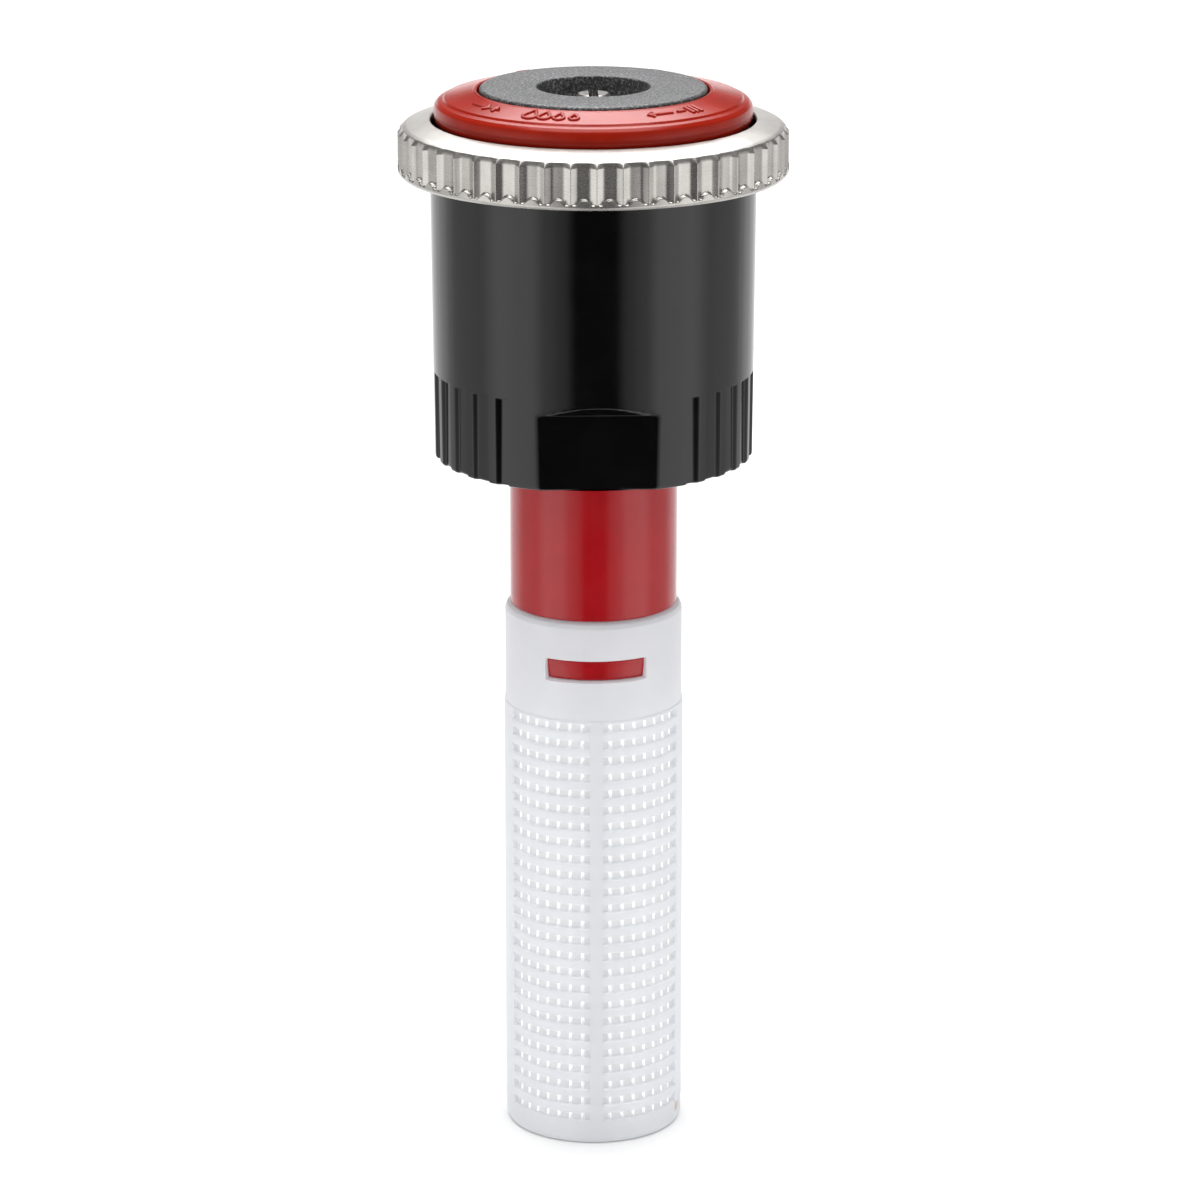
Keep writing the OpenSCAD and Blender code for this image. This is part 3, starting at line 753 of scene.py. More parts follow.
def nozzle_body(material):
    """Black body: threaded socket below, web across it, and the rotor's chamber above."""
    corners = [
        (BODY_RIM_R, RIM, 0.28), (BODY_TOP_R, SHOULDER, 0.3), (10.6, SHOULDER, 0.12),
        (10.6, 75.2, 0.08), (11.1, 75.2, 0.1), (11.1, SPIGOT_TOP, 0.18), (9.9, SPIGOT_TOP, 0.2),
        (9.9, 66.0, 0.3), (8.6, 66.0, 0.15), (8.6, WEB_TOP, 0.25), (7.24, WEB_TOP, 0.08),
        (7.24, 60.91, 0.15), (6.22, 60.91, 0.08), (6.22, WEB, 0.1), (THREAD_R, WEB, 0.15),
        (THREAD_R, RIM + 0.5, 0.0), (8.45, RIM, 0.08), (10.6, RIM, 0.0), (10.9, RIM, 0.0),
    ]
    heights = [52.4, 54, 56, 57.1, 57.25, 57.4, 57.55, 57.75, 57.95, 58.1, 58.18, 58.26, 58.33]
    heights += [58.4, 58.46, 58.54, 58.62, 58.8, 59.5, 61, 64, 67, 70, 72, 72.5]
    outline = with_heights(rounded(corners), 11.2, heights)
    angles = even(72) + pocket_angles()
    angles += [side + i * 0.8 for side in (0, 180) for i in range(-32, 33)]
    bm = bmesh.new()
    lathe(bm, outline, around_axis(angles), body_shape)
    return finished(bm, "nozzle_body", material, 50)


def riser_thread(material):
    """Thread ridge in the body's socket."""
    return coil("riser_thread", material, 7.0, THREAD_R + 0.08, RIM + 0.75, WASHER - 0.3, 0.42, 4, 30)


def riser_washer(material):
    """Flat rubber washer that the riser's end presses on."""
    return turned("riser_washer", material, [
        (6.22, WASHER, 0.12), (7.89, WASHER, 0.12), (7.89, WEB, 0.1), (6.22, WEB, 0.1),
    ], 128)


def stem_seal(material):
    """Round ring under the stem's flange."""
    outline = [
        (6.77 + 0.42 * math.cos(math.tau * i / 20), 61.38 + 0.42 * math.sin(math.tau * i / 20))
        for i in range(20)
    ]
    bm = bmesh.new()
    lathe(bm, outline, even(128))
    return finished(bm, "stem_seal", material, 80)


def nozzle_insert(material):
    """Throat that aims the water at the rotor."""
    return turned("nozzle_insert", material, [
        (4.6, 63.05, 0.15), (8.55, 63.05, 0.1), (8.55, 64.25, 0.15), (5.2, 65.95, 0.1),
        (3.9, 65.95, 0.08), (3.9, 65.45, 0.3),
    ], 128)


def shaft_guide(material):
    """Spider with four arms, a hub with a keyway and a rim hooked over the stem."""
    bm = bmesh.new()
    rim = [(5.18, 59.55, 0.1), (5.18, 62.65, 0.03), (6.17, 62.65, 0.05), (6.17, 63.0, 0.1),
           (STEM_BORE_R, 63.0, 0.12), (STEM_BORE_R, 59.55, 0.1)]
    lathe(bm, rounded(rim), even(96))
    hub = [(3.9, 59.55, 0.12), (3.9, 63.0, 0.12), (2.45, 63.0, 0.1), (2.45, 59.55, 0.1)]
    gap = math.degrees(math.asin(0.45 / 3.0))
    sector(bm, rounded(hub), 90 + gap, 450 - gap, 4)
    back = [(3.9, 59.56, 0.1), (3.9, 62.99, 0.1), (2.92, 62.99, 0.05), (2.92, 59.56, 0.05)]
    sector(bm, rounded(back), 90 - gap - 1, 90 + gap + 1, 4)
    arm = [(4.85, 59.6, 0.15), (4.85, 62.95, 0.15), (3.7, 62.95, 0.15), (3.7, 59.6, 0.15)]
    for middle in (45, 135, 225, 315):
        sector(bm, rounded(arm), middle - 6.5, middle + 6.5, 6)
    return finished(bm, "shaft_guide", material)


def throttle_seat(material):
    """Ring in the stem that the throttle nut rises towards."""
    return turned("throttle_seat", material, [
        (4.3, 50.65, 0.2), (5.18, 50.65, 0.1), (5.18, 51.85, 0.1), (4.3, 51.85, 0.2),
    ], 96)


# ---------------------------------------------------------------- stem and filter

WINDOW_LOW = 36.24
WINDOW_HIGH = 37.8
WINDOW_HALF = 34.6   # half the angle of a catch window
SIDE_HALF = 24       # half the angle of a solid side wall of the screen
RIBS = 24
RIB_PITCH = 1.275
BAR_PITCH = 8.3      # angle from one upright bar to the next
BAR_GAP = 2.0        # angle of the hole between two bars


def stem(material):
    """Red tube with a flange above, and a spigot with two catch barbs below."""
    outline = rounded([
        (STEM_R, 40.75, 0.15), (STEM_R, 61.85, 0.1), (8.3, 61.85, 0.12), (8.3, 62.6, 0.15),
        (5.2, 62.6, 0.1), (5.2, 40.2, 0.1), (STEM_BORE_R, 40.2, 0.1), (STEM_BORE_R, 34.3, 0.15),
        (5.5, 34.3, 0.3), (5.5, 40.75, 0.05),
    ])
    bm = bmesh.new()
    lathe(bm, outline, even(160))
    low = WINDOW_LOW + 0.06
    high = WINDOW_HIGH - 0.05
    barb = rounded([(5.3, low, 0.0), (6.16, low, 0.08), (6.28, high - 0.45, 0.3), (6.3, high, 0.06),
                    (5.3, high, 0.0)])
    for front in (0, 180):
        sector(bm, barb, front - WINDOW_HALF + 0.6, front + WINDOW_HALF - 0.6, 2)
    return finished(bm, "stem", material)


def filter_foot(material):
    """Closed foot of the filter."""
    return turned("filter_foot", material, [
        (0.0, 0.12, 0.0), (4.9, 0.12, 0.08), (5.15, 0.0, 0.1), (6.42, 0.0, 0.22), (6.6, 0.4, 0.2),
        (6.6, 1.85, 0.12), (RIB_IN, 1.98, 0.05), (RIB_IN, 1.5, 0.15), (0.0, 1.5, 0.0),
    ])


def filter_frame(material):
    """Two solid sides and two narrow spines that join the foot to the collar."""
    bm = bmesh.new()
    wall = rounded([(RIB_IN, 1.7, 0), (RIB_R, 1.7, 0), (RIB_R, SCREEN_TOP + 0.05, 0.08),
                    (RIB_IN, SCREEN_TOP + 0.05, 0)])
    for middle in (90, 270):
        sector(bm, wall, middle - SIDE_HALF, middle + SIDE_HALF, 3)
    half = math.degrees(0.5 / RIB_R)
    spine = rounded([(RIB_IN, 1.7, 0), (6.2, 0.5, 0), (RIB_R + 0.01, 0.5, 0.05),
                     (RIB_R + 0.01, SCREEN_TOP + 0.05, 0.08), (RIB_IN, SCREEN_TOP + 0.05, 0)])
    for middle in (0, 180):
        sector(bm, spine, middle - half, middle + half, 2)
    bmesh.ops.bevel(
        bm, geom=[e for e in bm.edges if abs((e.verts[0].co - e.verts[1].co).z) > 5
                  and min(v.co.xy.length for v in e.verts) > 6 and e.calc_face_angle(0) > 1],
        offset=0.08, segments=3, affect="EDGES", profile=0.5,
    )
    return finished(bm, "filter_frame", material)


def filter_ribs(material):
    """Thin ribs, each in two halves that end inside the side walls."""
    middle = 2.7375
    upper = [(RIB_R, 0.3, 0.14), (6.3, 0.41, 0.1), (RIB_IN, 0.43, 0.05)]
    lower = [(r, -z, fillet) for r, z, fillet in reversed(upper)]
    rib = rounded([(r, middle + z, fillet) for r, z, fillet in lower + upper], 30)
    reach = 90 - SIDE_HALF + 0.6
    bm = bmesh.new()
    for front in (0, 180):
        sector(bm, rib, front - reach, front + reach, 3.4)
    return repeated(bm, "filter_ribs", material, RIBS, rise=RIB_PITCH)


def filter_bars(material):
    """Upright bars behind the ribs, which leave a row of narrow holes."""
    bar = rounded([(5.7, 1.7, 0), (6.42, 1.7, 0), (6.42, SCREEN_TOP, 0), (5.7, SCREEN_TOP, 0)])
    ends = [8.1 + BAR_PITCH * k for k in range(8)]
    edges = [(3.5, ends[0])] + [(end - BAR_PITCH + BAR_GAP, end) for end in ends[1:]]
    bm = bmesh.new()
    for start, end in edges:
        sector(bm, bar, start, end, 3.2)
        sector(bm, bar, -end, -start, 3.2)
    return repeated(bm, "filter_bars", material, 2, turn=180)


def filter_collar(material):
    """Collar with a catch window at the front and one at the back."""
    bm = bmesh.new()
    outline = rounded([
        (COLLAR_IN, SCREEN_TOP - 0.09, 0.0), (RIB_R, SCREEN_TOP - 0.09, 0.08),
        (RIB_R, SCREEN_TOP + 0.1, 0.05), (COLLAR_R, SCREEN_TOP + 0.2, 0.05),
        (COLLAR_R, COLLAR_TOP - 0.45, 0.2), (6.4, COLLAR_TOP - 0.1, 0.2),
        (6.1, COLLAR_TOP, 0.12), (COLLAR_IN, COLLAR_TOP, 0.15),
    ])
    lathe(bm, outline, even(192))
    collar = finished(bm, "filter_collar", material)
    window = [
        (5.0, WINDOW_LOW), (6.32, WINDOW_LOW), (6.7, WINDOW_LOW - 0.12),
        (6.7, WINDOW_HIGH + 0.1), (6.32, WINDOW_HIGH), (5.0, WINDOW_HIGH),
    ]
    for front in (0, 180):
        tool = bmesh.new()
        sector(tool, window, front - WINDOW_HALF, front + WINDOW_HALF, 2.5)
        cut(collar, tool)
    return collar


# ---------------------------------------------------------------- grip ring

FLUTES = 48
FLUTE_PITCH = 360 / FLUTES
FLUTE_TURN = 3.0


def flute_depth(phi):
    """Depth of a pressed flute at an angle from its middle: a flat floor and two slopes."""
    across = abs(math.radians(phi)) * RING_R
    return 0.26 * smooth_step((0.98 - across) / 0.62) ** 0.8


def ring_shape(r, z, theta):
    """Presses the flute into the ring's outer wall above the plain band."""
    if r < 13.55:
        return r, z, theta
    phi = (theta - FLUTE_TURN + FLUTE_PITCH / 2) % FLUTE_PITCH - FLUTE_PITCH / 2
    start = SHOULDER + 0.42 + 0.4 * max(0.0, 1 - (phi / 2.3) ** 2)
    fade = smooth_step((z - start + 0.05) / 0.1)
    pressed = soft_min(r, RING_R - flute_depth(phi), 0.18 * min(1.0, flute_depth(phi) / 0.1))
    return mix(r, pressed, fade), z, theta


def grip_ring(material):
    """Pressed steel ring: one flute, repeated round it."""
    corners = [
        (13.3, SHOULDER, 0.1), (13.9, SHOULDER, 0.15), (RING_R, 73.2, 0.2), (RING_R, 75.93, 0.16),
        (13.78, 76.36, 0.3), (13.5, 76.5, 0.4), (MOUTH_R, DECK, 0.16), (MOUTH_R, 76.46, 0.12),
        (13.3, 75.95, 0.2),
    ]
    heights = [73.3 + i * 0.04 for i in range(14)] + [73.9, 74.4, 75.0, 75.3, 75.45]
    outline = with_heights(rounded(corners, 7), 14.0, heights)
    steps = [-3.75, -3.65, -3.56, -3.45, -3.1, -2.7, -2.3, -2.1]
    steps += [-2.02, -1.94, -1.6, -1.2, -0.8, -0.4, 0.0]
    steps += [-s for s in reversed(steps[:-1])]
    bm = bmesh.new()
    lathe(bm, outline, [FLUTE_TURN + s for s in steps], ring_shape, whole=False)
    return repeated(bm, "grip_ring", material, FLUTES, turn=FLUTE_PITCH, weld=0.002, sharp=60)


def ring_carrier(material):
    """Plastic ring inside the grip ring, hooked over the body's spigot."""
    return turned("ring_carrier", material, [
        (10.65, 73.05, 0.12), (13.28, 73.05, 0.15), (13.28, 75.9, 0.2), (11.15, 75.9, 0.12),
        (11.15, 75.0, 0.08), (10.65, 75.0, 0.1),
    ], 128)


# ---------------------------------------------------------------- rotor

GROOVES = 16
GROOVE_PITCH = 360 / GROOVES
GROOVE_HALF = 0.75
FACE_LOW = (10.72, 78.47)            # foot and head of the plate's sloping top face
FACE_HIGH = (CAP_SEAT_R, 79.0)
LINE = 0.15                          # radius of a line of the raised symbols


def groove_shape(r, z, theta):
    """Sinks the swept stream grooves into the cone under the rotor."""
    if z > 75.4 or r < 3.4 or z < 69.9:
        return r, z, theta
    phi = (theta + GROOVE_PITCH / 2) % GROOVE_PITCH - GROOVE_PITCH / 2
    across = math.radians(phi) * r
    depth = math.sqrt(max(0.0, GROOVE_HALF ** 2 - across * across)) / GROOVE_HALF
    run = smooth_step((r - 3.6) / 1.6)
    sweep = 24 * smooth_step((r - 3.5) / 7)
    sunk = 0.62 * depth * run
    wall = smooth_step((r - 9.3) / 0.25)
    return r - sunk * mix(0.35, 0.9, wall), z + sunk * mix(0.8, 0.1, wall), theta + sweep


def rotor_plate(material):
    """Red turning plate: grooved cone below, brake chamber and the cap's seat above."""
    corners = [
        (1.9, 66.5, 0.15), (3.3, 66.5, 0.2), (3.5, 68.5, 1.5), (4.2, 70.4, 1.5), (5.6, 72.0, 1.5),
        (7.4, 73.3, 1.5), (9.6, 74.6, 0.15), (9.6, 76.5, 0.2), (11.2, 76.5, 0.12),
        (11.44, 76.85, 0.3), (11.54, 77.45, 0.5), (11.46, 77.98, 0.25), (11.2, 78.24, 0.2),
        (10.86, 78.3, 0.08), (10.74, 78.47, 0.05), (8.7, 78.935, 0.05), (8.6, 79.0, 0.06),
        (CAP_SEAT_R, 79.0, 0.08), (CAP_SEAT_R, 77.5, 0.15), (6.15, 77.5, 0.1), (6.15, 75.65, 0.05),
        (5.6, 75.65, 0.1), (5.6, 73.3, 0.2), (2.5, 73.3, 0.1), (2.5, 70.95, 0.05), (1.9, 70.95, 0.1),
    ]
    offsets = [0, 0.9, 1.8, 2.7, 3.6, 4.5, 5.4, 6.3, 7.2, 8.4, 9.6]
    angles = even(144)
    for middle in range(GROOVES):
        angles += [middle * GROOVE_PITCH + side * off for off in offsets for side in (-1, 1)]
    bm = bmesh.new()
    lathe(bm, rounded(corners), around_axis(angles), groove_shape)
    return finished(bm, "rotor_plate", material, 50)


def on_face(theta, r):
    """A point just under the rotor plate's sloping top face, theta from the front."""
    t = (FACE_LOW[0] - r) / (FACE_LOW[0] - FACE_HIGH[0])
    return point(r, mix(FACE_LOW[1], FACE_HIGH[1], t) - 0.008, theta)


def face_arrow(bm, start, end, r, size=0.42):
    """A curved arrow along the face, with its head at end."""
    tube_along(bm, [on_face(mix(start, end, i / 14), r) for i in range(15)], LINE)
    back = end - math.copysign(math.degrees(size / r), end - start)
    head = [on_face(back, r - size * 0.8), on_face(end, r), on_face(back, r + size * 0.8)]
    tube_along(bm, head, LINE)


def face_drop(bm, theta, r, size):
    """The outline of a drop of water, point inwards."""
    path = []
    for i in range(24):
        a = math.tau * i / 24
        pull = 1 + 0.75 * max(0.0, math.cos(a)) ** 3
        across = size * math.sin(a) * (1 - 0.25 * max(0.0, math.cos(a)))
        path.append(on_face(theta + math.degrees(across / r), r - size * math.cos(a) * pull))
    tube_along(bm, path, LINE, loop=True)


def face_cross(bm, theta, r, size, upright=True):
    """A plus sign, or a minus sign when it has no upright."""
    width = math.degrees(size / r)
    tube_along(bm, [on_face(theta - width, r), on_face(theta + width, r)], LINE)
    if upright:
        tube_along(bm, [on_face(theta, r - size), on_face(theta, r + size)], LINE)


def rotor_symbols(material):
    """Raised plain symbols for adjusting the reach: arrows, plus, minus, drops and ticks."""
    bm = bmesh.new()
    face_arrow(bm, -64, -52, 9.6)
    face_cross(bm, -48, 9.6, 0.36)
    for i in range(4):
        face_drop(bm, -29 + i * 6.4, 9.75, 0.5 - 0.06 * i)
    face_arrow(bm, 34, 22, 9.6)
    face_cross(bm, 38.5, 9.6, 0.36, upright=False)
    for i in range(3):
        tube_along(bm, [on_face(43 + i * 2.4, 9.1), on_face(43 + i * 2.4, 10.15)], LINE)
    for theta in (150, 180, 210):
        face_drop(bm, theta, 9.75, 0.45)
    return finished(bm, "rotor_symbols", material, 60)


def rotor_cap(material):
    """Grey disc on top, with the round tool well."""
    return turned("rotor_cap", material, [
        (1.9, 77.0, 0.05), (1.9, 77.5, 0.12), (WELL_R, 77.5, 0.2), (WELL_R, TOP, 0.14),
        (CAP_R, TOP, 0.24), (CAP_R, 77.55, 0.15), (6.1, 77.55, 0.05), (6.1, 77.0, 0.1),
        (5.4, 77.0, 0.05), (5.4, 76.4, 0.1), (2.9, 76.4, 0.1), (2.9, 77.0, 0.05),
    ])


def ring_piece(name, material, r_in, r_out, low, high, fillet=0.1, count=96):
    """A plain ring with rounded edges: a bush, a seal or a washer."""
    return turned(name, material, [
        (r_in, low, fillet), (r_out, low, fillet), (r_out, high, fillet), (r_in, high, fillet),
    ], count)


def lip_seal(name, material, r_out, low, high):
    """A seal whose inner edge thins to a lip."""
    middle = (low + high) / 2
    return turned(name, material, [
        (SHAFT_BORE_R, middle - 0.08, 0.05), (r_out - 0.35, low, 0.1), (r_out, low, 0.05),
        (r_out, high, 0.05), (r_out - 0.35, high, 0.1), (SHAFT_BORE_R, middle + 0.08, 0.05),
    ], 96)


# ---------------------------------------------------------------- shaft, lift and throttle

def adjusting_shaft(material):
    """Steel shaft with two clip grooves and a slotted drive end in the tool well."""
    shaft = turned("adjusting_shaft", material, [
        (0.0, 39.85, 0.0), (1.3, 39.85, 0.0), (1.42, 40.0, 0.0), (1.42, 46.15, 0.0),
        (SHAFT_R, 46.15, 0.04), (SHAFT_R, 46.35, 0.0), (1.3, 46.35, 0.0), (1.3, 46.95, 0.0),
        (SHAFT_R, 46.95, 0.0), (SHAFT_R, 65.7, 0.0), (1.3, 65.7, 0.0), (1.3, 66.1, 0.0),
        (SHAFT_R, 66.1, 0.0), (SHAFT_R, 77.6, 0.12), (1.25, 77.6, 0.05), (1.25, 78.5, 0.06),
        (1.05, 78.7, 0.05), (0.0, 78.7, 0.0),
    ], 96)
    slot = bmesh.new()
    block(slot, (-0.35, -2, 78.2), (0.35, 2, 79.0))
    return cut(shaft, slot)


def shaft_screw(material):
    """Thread ridge on the lower end of the shaft."""
    return coil("shaft_screw", material, 11.0, 1.4, 40.0, 46.1, 0.1, 4, 30)


def clip(name, material, radius, low, high):
    """An open spring clip that sits in the shaft's groove."""
    bm = bmesh.new()
    outline = rounded([(1.32, low, 0.05), (radius, low, 0.08), (radius, high, 0.08), (1.32, high, 0.05)])
    sector(bm, outline, 90 + 27, 450 - 27, 5)
    return finished(bm, name, material)


def lift_sleeve(material):
    """Keyed sleeve with a flange and two legs."""
    bm = bmesh.new()
    lathe(bm, rounded([
        (SHAFT_BORE_R, 47.05, 0.08), (3.95, 47.05, 0.15), (3.95, 48.25, 0.15), (2.4, 48.25, 0.2),
        (2.4, 65.6, 0.15), (SHAFT_BORE_R, 65.6, 0.1),
    ]), even(96))
    half = math.degrees(0.4 / 2.6)
    key = rounded([(2.3, 52.6, 0), (2.84, 52.6, 0.12), (2.84, 62.95, 0.12), (2.3, 62.95, 0)])
    sector(bm, key, 90 - half, 90 + half, 4)
    wide = math.degrees(0.6 / 3.4)
    leg = rounded([(3.02, 40.65, 0.1), (3.78, 40.65, 0.1), (3.78, 47.6, 0), (3.02, 47.6, 0)])
    for middle in (90, 270):
        sector(bm, leg, middle - wide, middle + wide, 4)
    return finished(bm, "lift_sleeve", material)


def throttle_nut(material):
    """Nut on the shaft's screw, with a slot for each leg of the sleeve."""
    nut = turned("throttle_nut", material, [
        (1.55, 41.25, 0.15), (4.0, 41.25, 0.1), (4.6, 41.85, 0.12), (4.6, 44.25, 0.2),
        (1.55, 44.25, 0.15),
    ], 120)
    for side in (-1, 1):
        slot = bmesh.new()
        near, far = sorted((side * 2.85, side * 3.95))
        block(slot, (near, -0.75, 40.5), (far, 0.75, 45.0))
        cut(nut, slot)
    return nut


# ---------------------------------------------------------------- assembly

COPIES = copies_tree()
COIL = coil_tree()
GRAIN = grain_group()
DUST = dust_group()
WEAR = wear_group()
LINES = lines_group()


def build():
    """Makes the materials, then every piece on its body, for its CAD node."""
    black = black_plastic()
    crimson = red_plastic("red_plastic", (0.43, 0.006, 0.01), (0.4, 0.005, 0.009), 0.07, 0.5)
    brick = red_plastic("red_plastic_rotor", (0.35, 0.014, 0.0035), (0.31, 0.011, 0.003), 0.15, 0.24)
    grey = grey_plastic()
    # The third colour of each white is its painted glow. The bars' copy is a little paler and glows
    # further round its sides, as painted light in the holes between the bars.
    white = white_plastic(
        "white_plastic", (0.875, 0.885, 0.905), (0.85, 0.865, 0.89), (0.42, 0.42, 0.43), 0.1, -0.5
    )
    bars_painted_glow_white = white_plastic(
        "white_plastic_bars_painted_glow", (0.9, 0.905, 0.91), (0.88, 0.885, 0.89), (0.44, 0.44, 0.44), 0.6, -0.15
    )
    natural = natural_plastic()
    rubber = seal_rubber()
    steel = metal(
        "stainless", (0.55, 0.532, 0.502), (0.475, 0.46, 0.43), 0.25, (1.0, 1.0, 8.0), 900.0, 0.004,
        wear=0.1, satin=0.08, dust=0.03, bare=0.85, vary=0.04,
    )
    # The shaft's steel is the grip ring's stainless painted darker: painted shade for the drive end down
    # in the tool well.
    shaded_steel = metal(
        "stainless_shaft_painted_shade", (0.36, 0.35, 0.335), (0.28, 0.27, 0.26), 0.28, (1.0, 1.0, 8.0), 3000.0, 0.1
    )
    wire = metal(
        "spring_steel", (0.62, 0.62, 0.61), (0.5, 0.5, 0.49), 0.22, (1.0, 1.0, 1.0), 5000.0, 0.2
    )
    bronze = metal("bronze", (0.6, 0.4, 0.18), (0.5, 0.32, 0.13), 0.35, (1.0, 1.0, 1.0), 6000.0, 0.4)

    show(nozzle_body(black), "base", "black_plastic", "nozzle_body")
    show(riser_thread(black), "base", "black_plastic")
    show(riser_washer(rubber), "base", "seal_rubber", "riser_washer")
    show(stem_seal(rubber), "base", "seal_rubber", "stem_seal")
    show(nozzle_insert(black), "base", "black_plastic", "nozzle_insert")
    show(shaft_guide(natural), "base", "natural_plastic", "shaft_guide")
    show(throttle_seat(natural), "base", "natural_plastic", "throttle_seat")
    show(stem(crimson), "base", "red_plastic", "stem")
    show(filter_foot(white), "base", "white_plastic", "filter_screen")
    show(filter_frame(white), "base", "white_plastic")
    show(filter_ribs(white), "base", "white_plastic")
    show(filter_bars(bars_painted_glow_white), "base", "white_plastic")
    show(filter_collar(white), "base", "white_plastic")

    show(ring_carrier(black), "ring", "black_plastic", "ring_carrier")
    show(grip_ring(steel), "ring", "stainless", "grip_ring")

    show(lift_sleeve(natural), "lift", "natural_plastic", "lift_sleeve")
    spring = coil("lift_spring", wire, 6.0, 3.45, 48.3, 59.5, 0.275, 12, 80)
    show(spring, "lift", "spring_steel", "lift_spring")
    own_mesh(spring)
    show(throttle_nut(natural), "throttle", "natural_plastic", "throttle_nut")

    show(adjusting_shaft(shaded_steel), "shaft", "stainless", "adjusting_shaft")
    show(shaft_screw(shaded_steel), "shaft", "stainless")
    show(clip("upper_clip", wire, 2.3, 65.72, 66.08), "shaft", "spring_steel", "upper_clip")
    show(clip("lower_clip", wire, 2.7, 46.37, 46.93), "shaft", "spring_steel", "lower_clip")
    stator = ring_piece("damper_stator", natural, 1.62, 5.25, 73.65, 75.3, 0.2)
    show(stator, "shaft", "natural_plastic", "damper_stator")

    show(rotor_plate(brick), "rotor", "red_plastic", "rotor_plate")
    show(rotor_symbols(brick), "rotor", "red_plastic")
    show(rotor_cap(grey), "rotor", "grey_plastic", "rotor_cap")
    retainer = ring_piece("damper_retainer", natural, 2.9, 6.13, 75.65, 76.35)
    show(retainer, "rotor", "natural_plastic", "damper_retainer")
    upper_bearing = ring_piece("upper_bearing", bronze, SHAFT_BORE_R, 2.88, 75.65, 76.35)
    show(upper_bearing, "rotor", "bronze", "upper_bearing")
    lower_bearing = ring_piece("lower_bearing", bronze, SHAFT_BORE_R, 2.48, 71.6, 73.3)
    show(lower_bearing, "rotor", "bronze", "lower_bearing")
    show(lip_seal("upper_seal", rubber, 2.88, 76.4, 76.95), "rotor", "seal_rubber", "upper_seal")
    show(lip_seal("lower_seal", rubber, 2.48, 70.95, 71.55), "rotor", "seal_rubber", "lower_seal")
    chamber_seal = ring_piece("chamber_seal", rubber, 5.42, 6.13, 76.4, 76.95, 0.2)
    show(chamber_seal, "rotor", "seal_rubber", "chamber_seal")


# ---------------------------------------------------------------- floor, light and camera

def floor():
    """Pale matt floor, which the glossy pieces don't mirror."""
    bm = bmesh.new()
    block(bm, (-3000, -3000, -20), (3000, 3000, -0.02))
    material, tree, shader = new_material("floor")
    tone = mixed(tree, clouds(tree, 30.0, 4.0), (0.88, 0.88, 0.88), (0.9, 0.9, 0.9))
    tree.links.new(tone, shader.inputs["Base Color"])
    shader.inputs["Roughness"].default_value = 0.9
    obj = finished(bm, "floor", material)
    obj.visible_glossy = False


def scaled(tree, colour, factor):
    """A colour made brighter or darker by a factor."""
    return node(tree, "ShaderNodeVectorMath", {0: colour, "Scale": factor}, operation="SCALE").outputs[0]


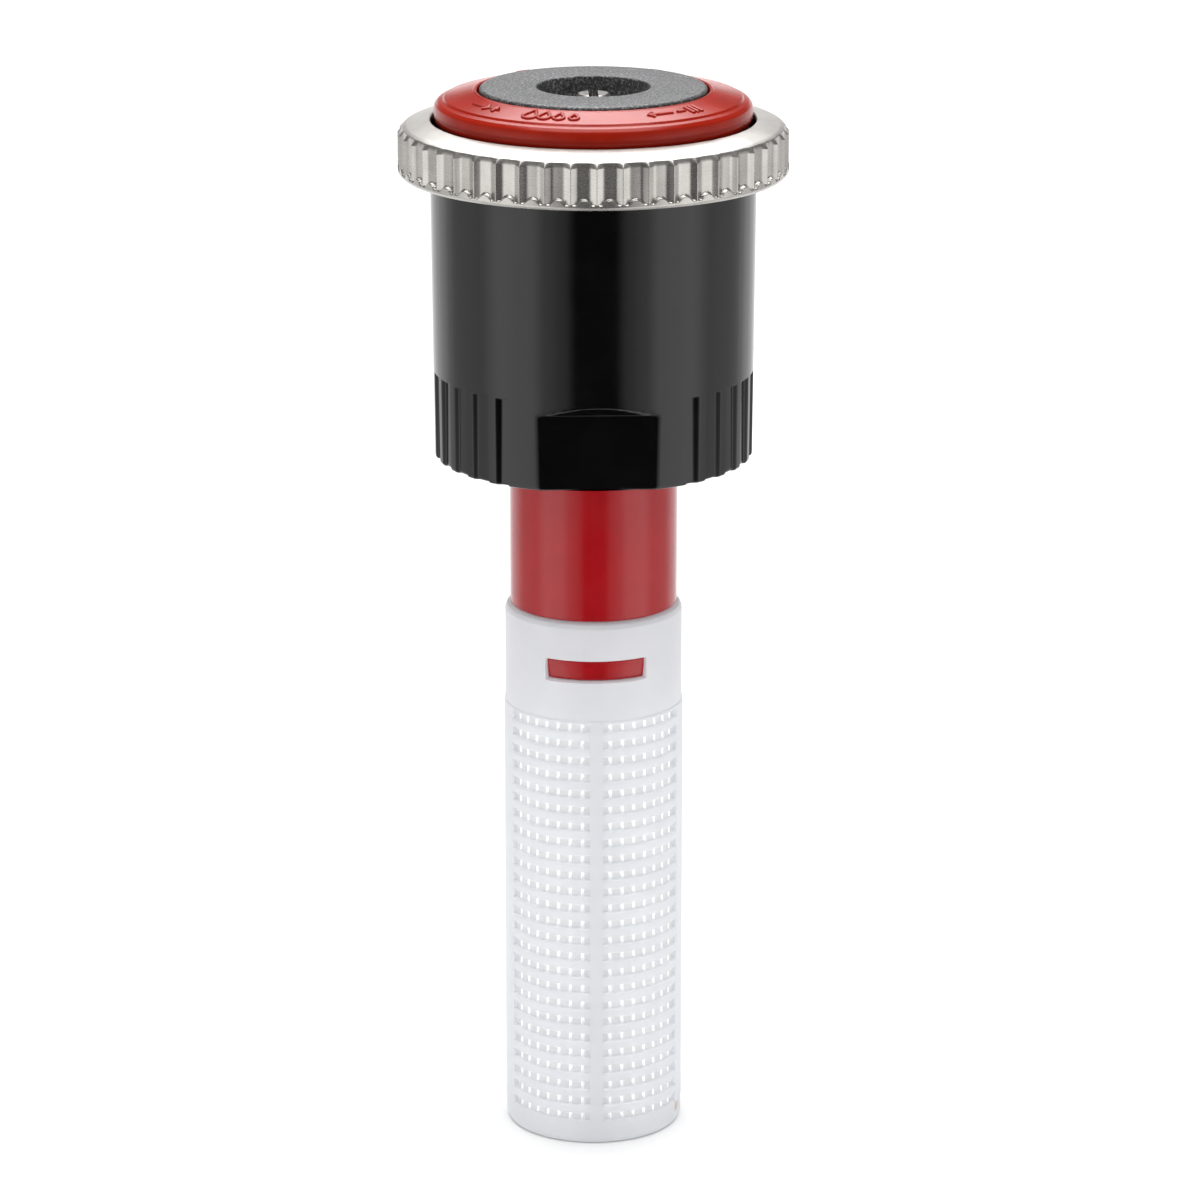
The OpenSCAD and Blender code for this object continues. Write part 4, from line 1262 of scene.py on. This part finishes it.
def studio():
    """Soft studio surround: dark where the camera stands, bright panels beside and behind.
    Only mirrored rays see the walls; the rest get an even light, and the camera plain white."""
    world = bpy.data.worlds.new("studio")
    bpy.context.scene.world = world
    world.use_nodes = True
    tree = world.node_tree
    tree.nodes.clear()
    way = node(tree, "ShaderNodeTexCoord").outputs["Generated"]
    parts = node(tree, "ShaderNodeSeparateXYZ", {"Vector": way})
    flat = node(tree, "ShaderNodeCombineXYZ", {
        "X": parts.outputs["X"], "Y": parts.outputs["Y"],
    }).outputs[0]
    level = node(tree, "ShaderNodeVectorMath", {0: flat}, operation="NORMALIZE").outputs[0]
    front = node(tree, "ShaderNodeVectorMath", {0: level, 1: (0.0, -1.0, 0.0)}, operation="DOT_PRODUCT")
    turn = node(tree, "ShaderNodeMath", {0: front.outputs["Value"]}, operation="ARCCOSINE").outputs[0]
    share = node(tree, "ShaderNodeMath", {0: turn, 1: math.pi}, operation="DIVIDE").outputs[0]
    walls = tree.nodes.new("ShaderNodeValToRGB")
    tree.links.new(share, walls.inputs[0])
    stops = [(0.0, 0.01), (13, 0.012), (24, 0.3), (34, 0.45), (48, 0.85), (70, 0.9), (92, 0.46),
             (116, 0.38), (140, 0.6), (180, 0.72)]
    band = walls.color_ramp
    band.interpolation = "EASE"
    for stop, (_, value) in zip(band.elements, (stops[0], stops[-1])):
        stop.color = (value, value, value, 1)
    for angle, value in stops[1:-1]:
        stop = band.elements.new(angle / 180)
        stop.color = (value, value, value, 1)
    low = scaled(tree, walls.outputs[0], 1.7)
    high = scaled(tree, walls.outputs[0], 0.22)
    sky = mixed(tree, ramp(tree, parts.outputs["Z"], 0.0, 0.22), low, high)
    panel_side = ramp(tree, front.outputs["Value"], -0.84, -0.95)
    panel_foot = ramp(tree, parts.outputs["Z"], 0.44, 0.7)
    panel = node(tree, "ShaderNodeMath", {0: panel_side, 1: panel_foot}, operation="MULTIPLY").outputs[0]
    lit = mixed(tree, panel, sky, (7.0, 7.0, 7.1))
    glow = node(tree, "ShaderNodeBackground", {"Color": lit, "Strength": 1.0})
    soft = node(tree, "ShaderNodeBackground", {"Color": (1.0, 1.0, 1.0, 1.0), "Strength": 0.5})
    plain = node(tree, "ShaderNodeBackground", {"Color": (1.0, 1.0, 1.0, 1.0), "Strength": 1.0})
    ray = node(tree, "ShaderNodeLightPath")
    inner = node(tree, "ShaderNodeMixShader", {
        0: ray.outputs["Is Glossy Ray"], 1: soft.outputs[0], 2: glow.outputs[0],
    }).outputs[0]
    both = node(tree, "ShaderNodeMixShader", {
        0: ray.outputs["Is Camera Ray"], 1: inner, 2: plain.outputs[0],
    }).outputs[0]
    out = tree.nodes.new("ShaderNodeOutputWorld")
    tree.links.new(both, out.inputs[0])


def lamp(name, place, aim, size, power):
    """A soft square lamp that points at aim."""
    light = bpy.data.lights.new(name, "AREA")
    light.size = size
    light.energy = power
    obj = bpy.data.objects.new(name, light)
    obj.location = place
    obj.rotation_euler = (Vector(aim) - Vector(place)).to_track_quat("-Z", "Y").to_euler()
    bpy.context.scene.collection.objects.link(obj)


def camera():
    """Long lens, a little above the object and a little to its left."""
    lens = bpy.data.cameras.new("camera")
    lens.lens = 150
    lens.sensor_width = 36
    lens.clip_start = 0.01
    obj = bpy.data.objects.new("camera", lens)
    turn = math.radians(-1.85)
    away = 0.3556
    aside = 0.00048
    height = 0.1453
    obj.location = (
        away * math.sin(turn) + aside * math.cos(turn),
        -away * math.cos(turn) + aside * math.sin(turn),
        height,
    )
    obj.rotation_euler = (math.radians(73.6), 0, turn)
    bpy.context.scene.collection.objects.link(obj)
    bpy.context.scene.camera = obj


build()
floor()
studio()
lamp("overhead", (0.0, 0.1, 1.2), (0, 0, 0), 1.2, 19)
camera()
bpy.context.scene.view_settings.view_transform = "Standard"
bpy.context.scene.view_settings.look = "None"
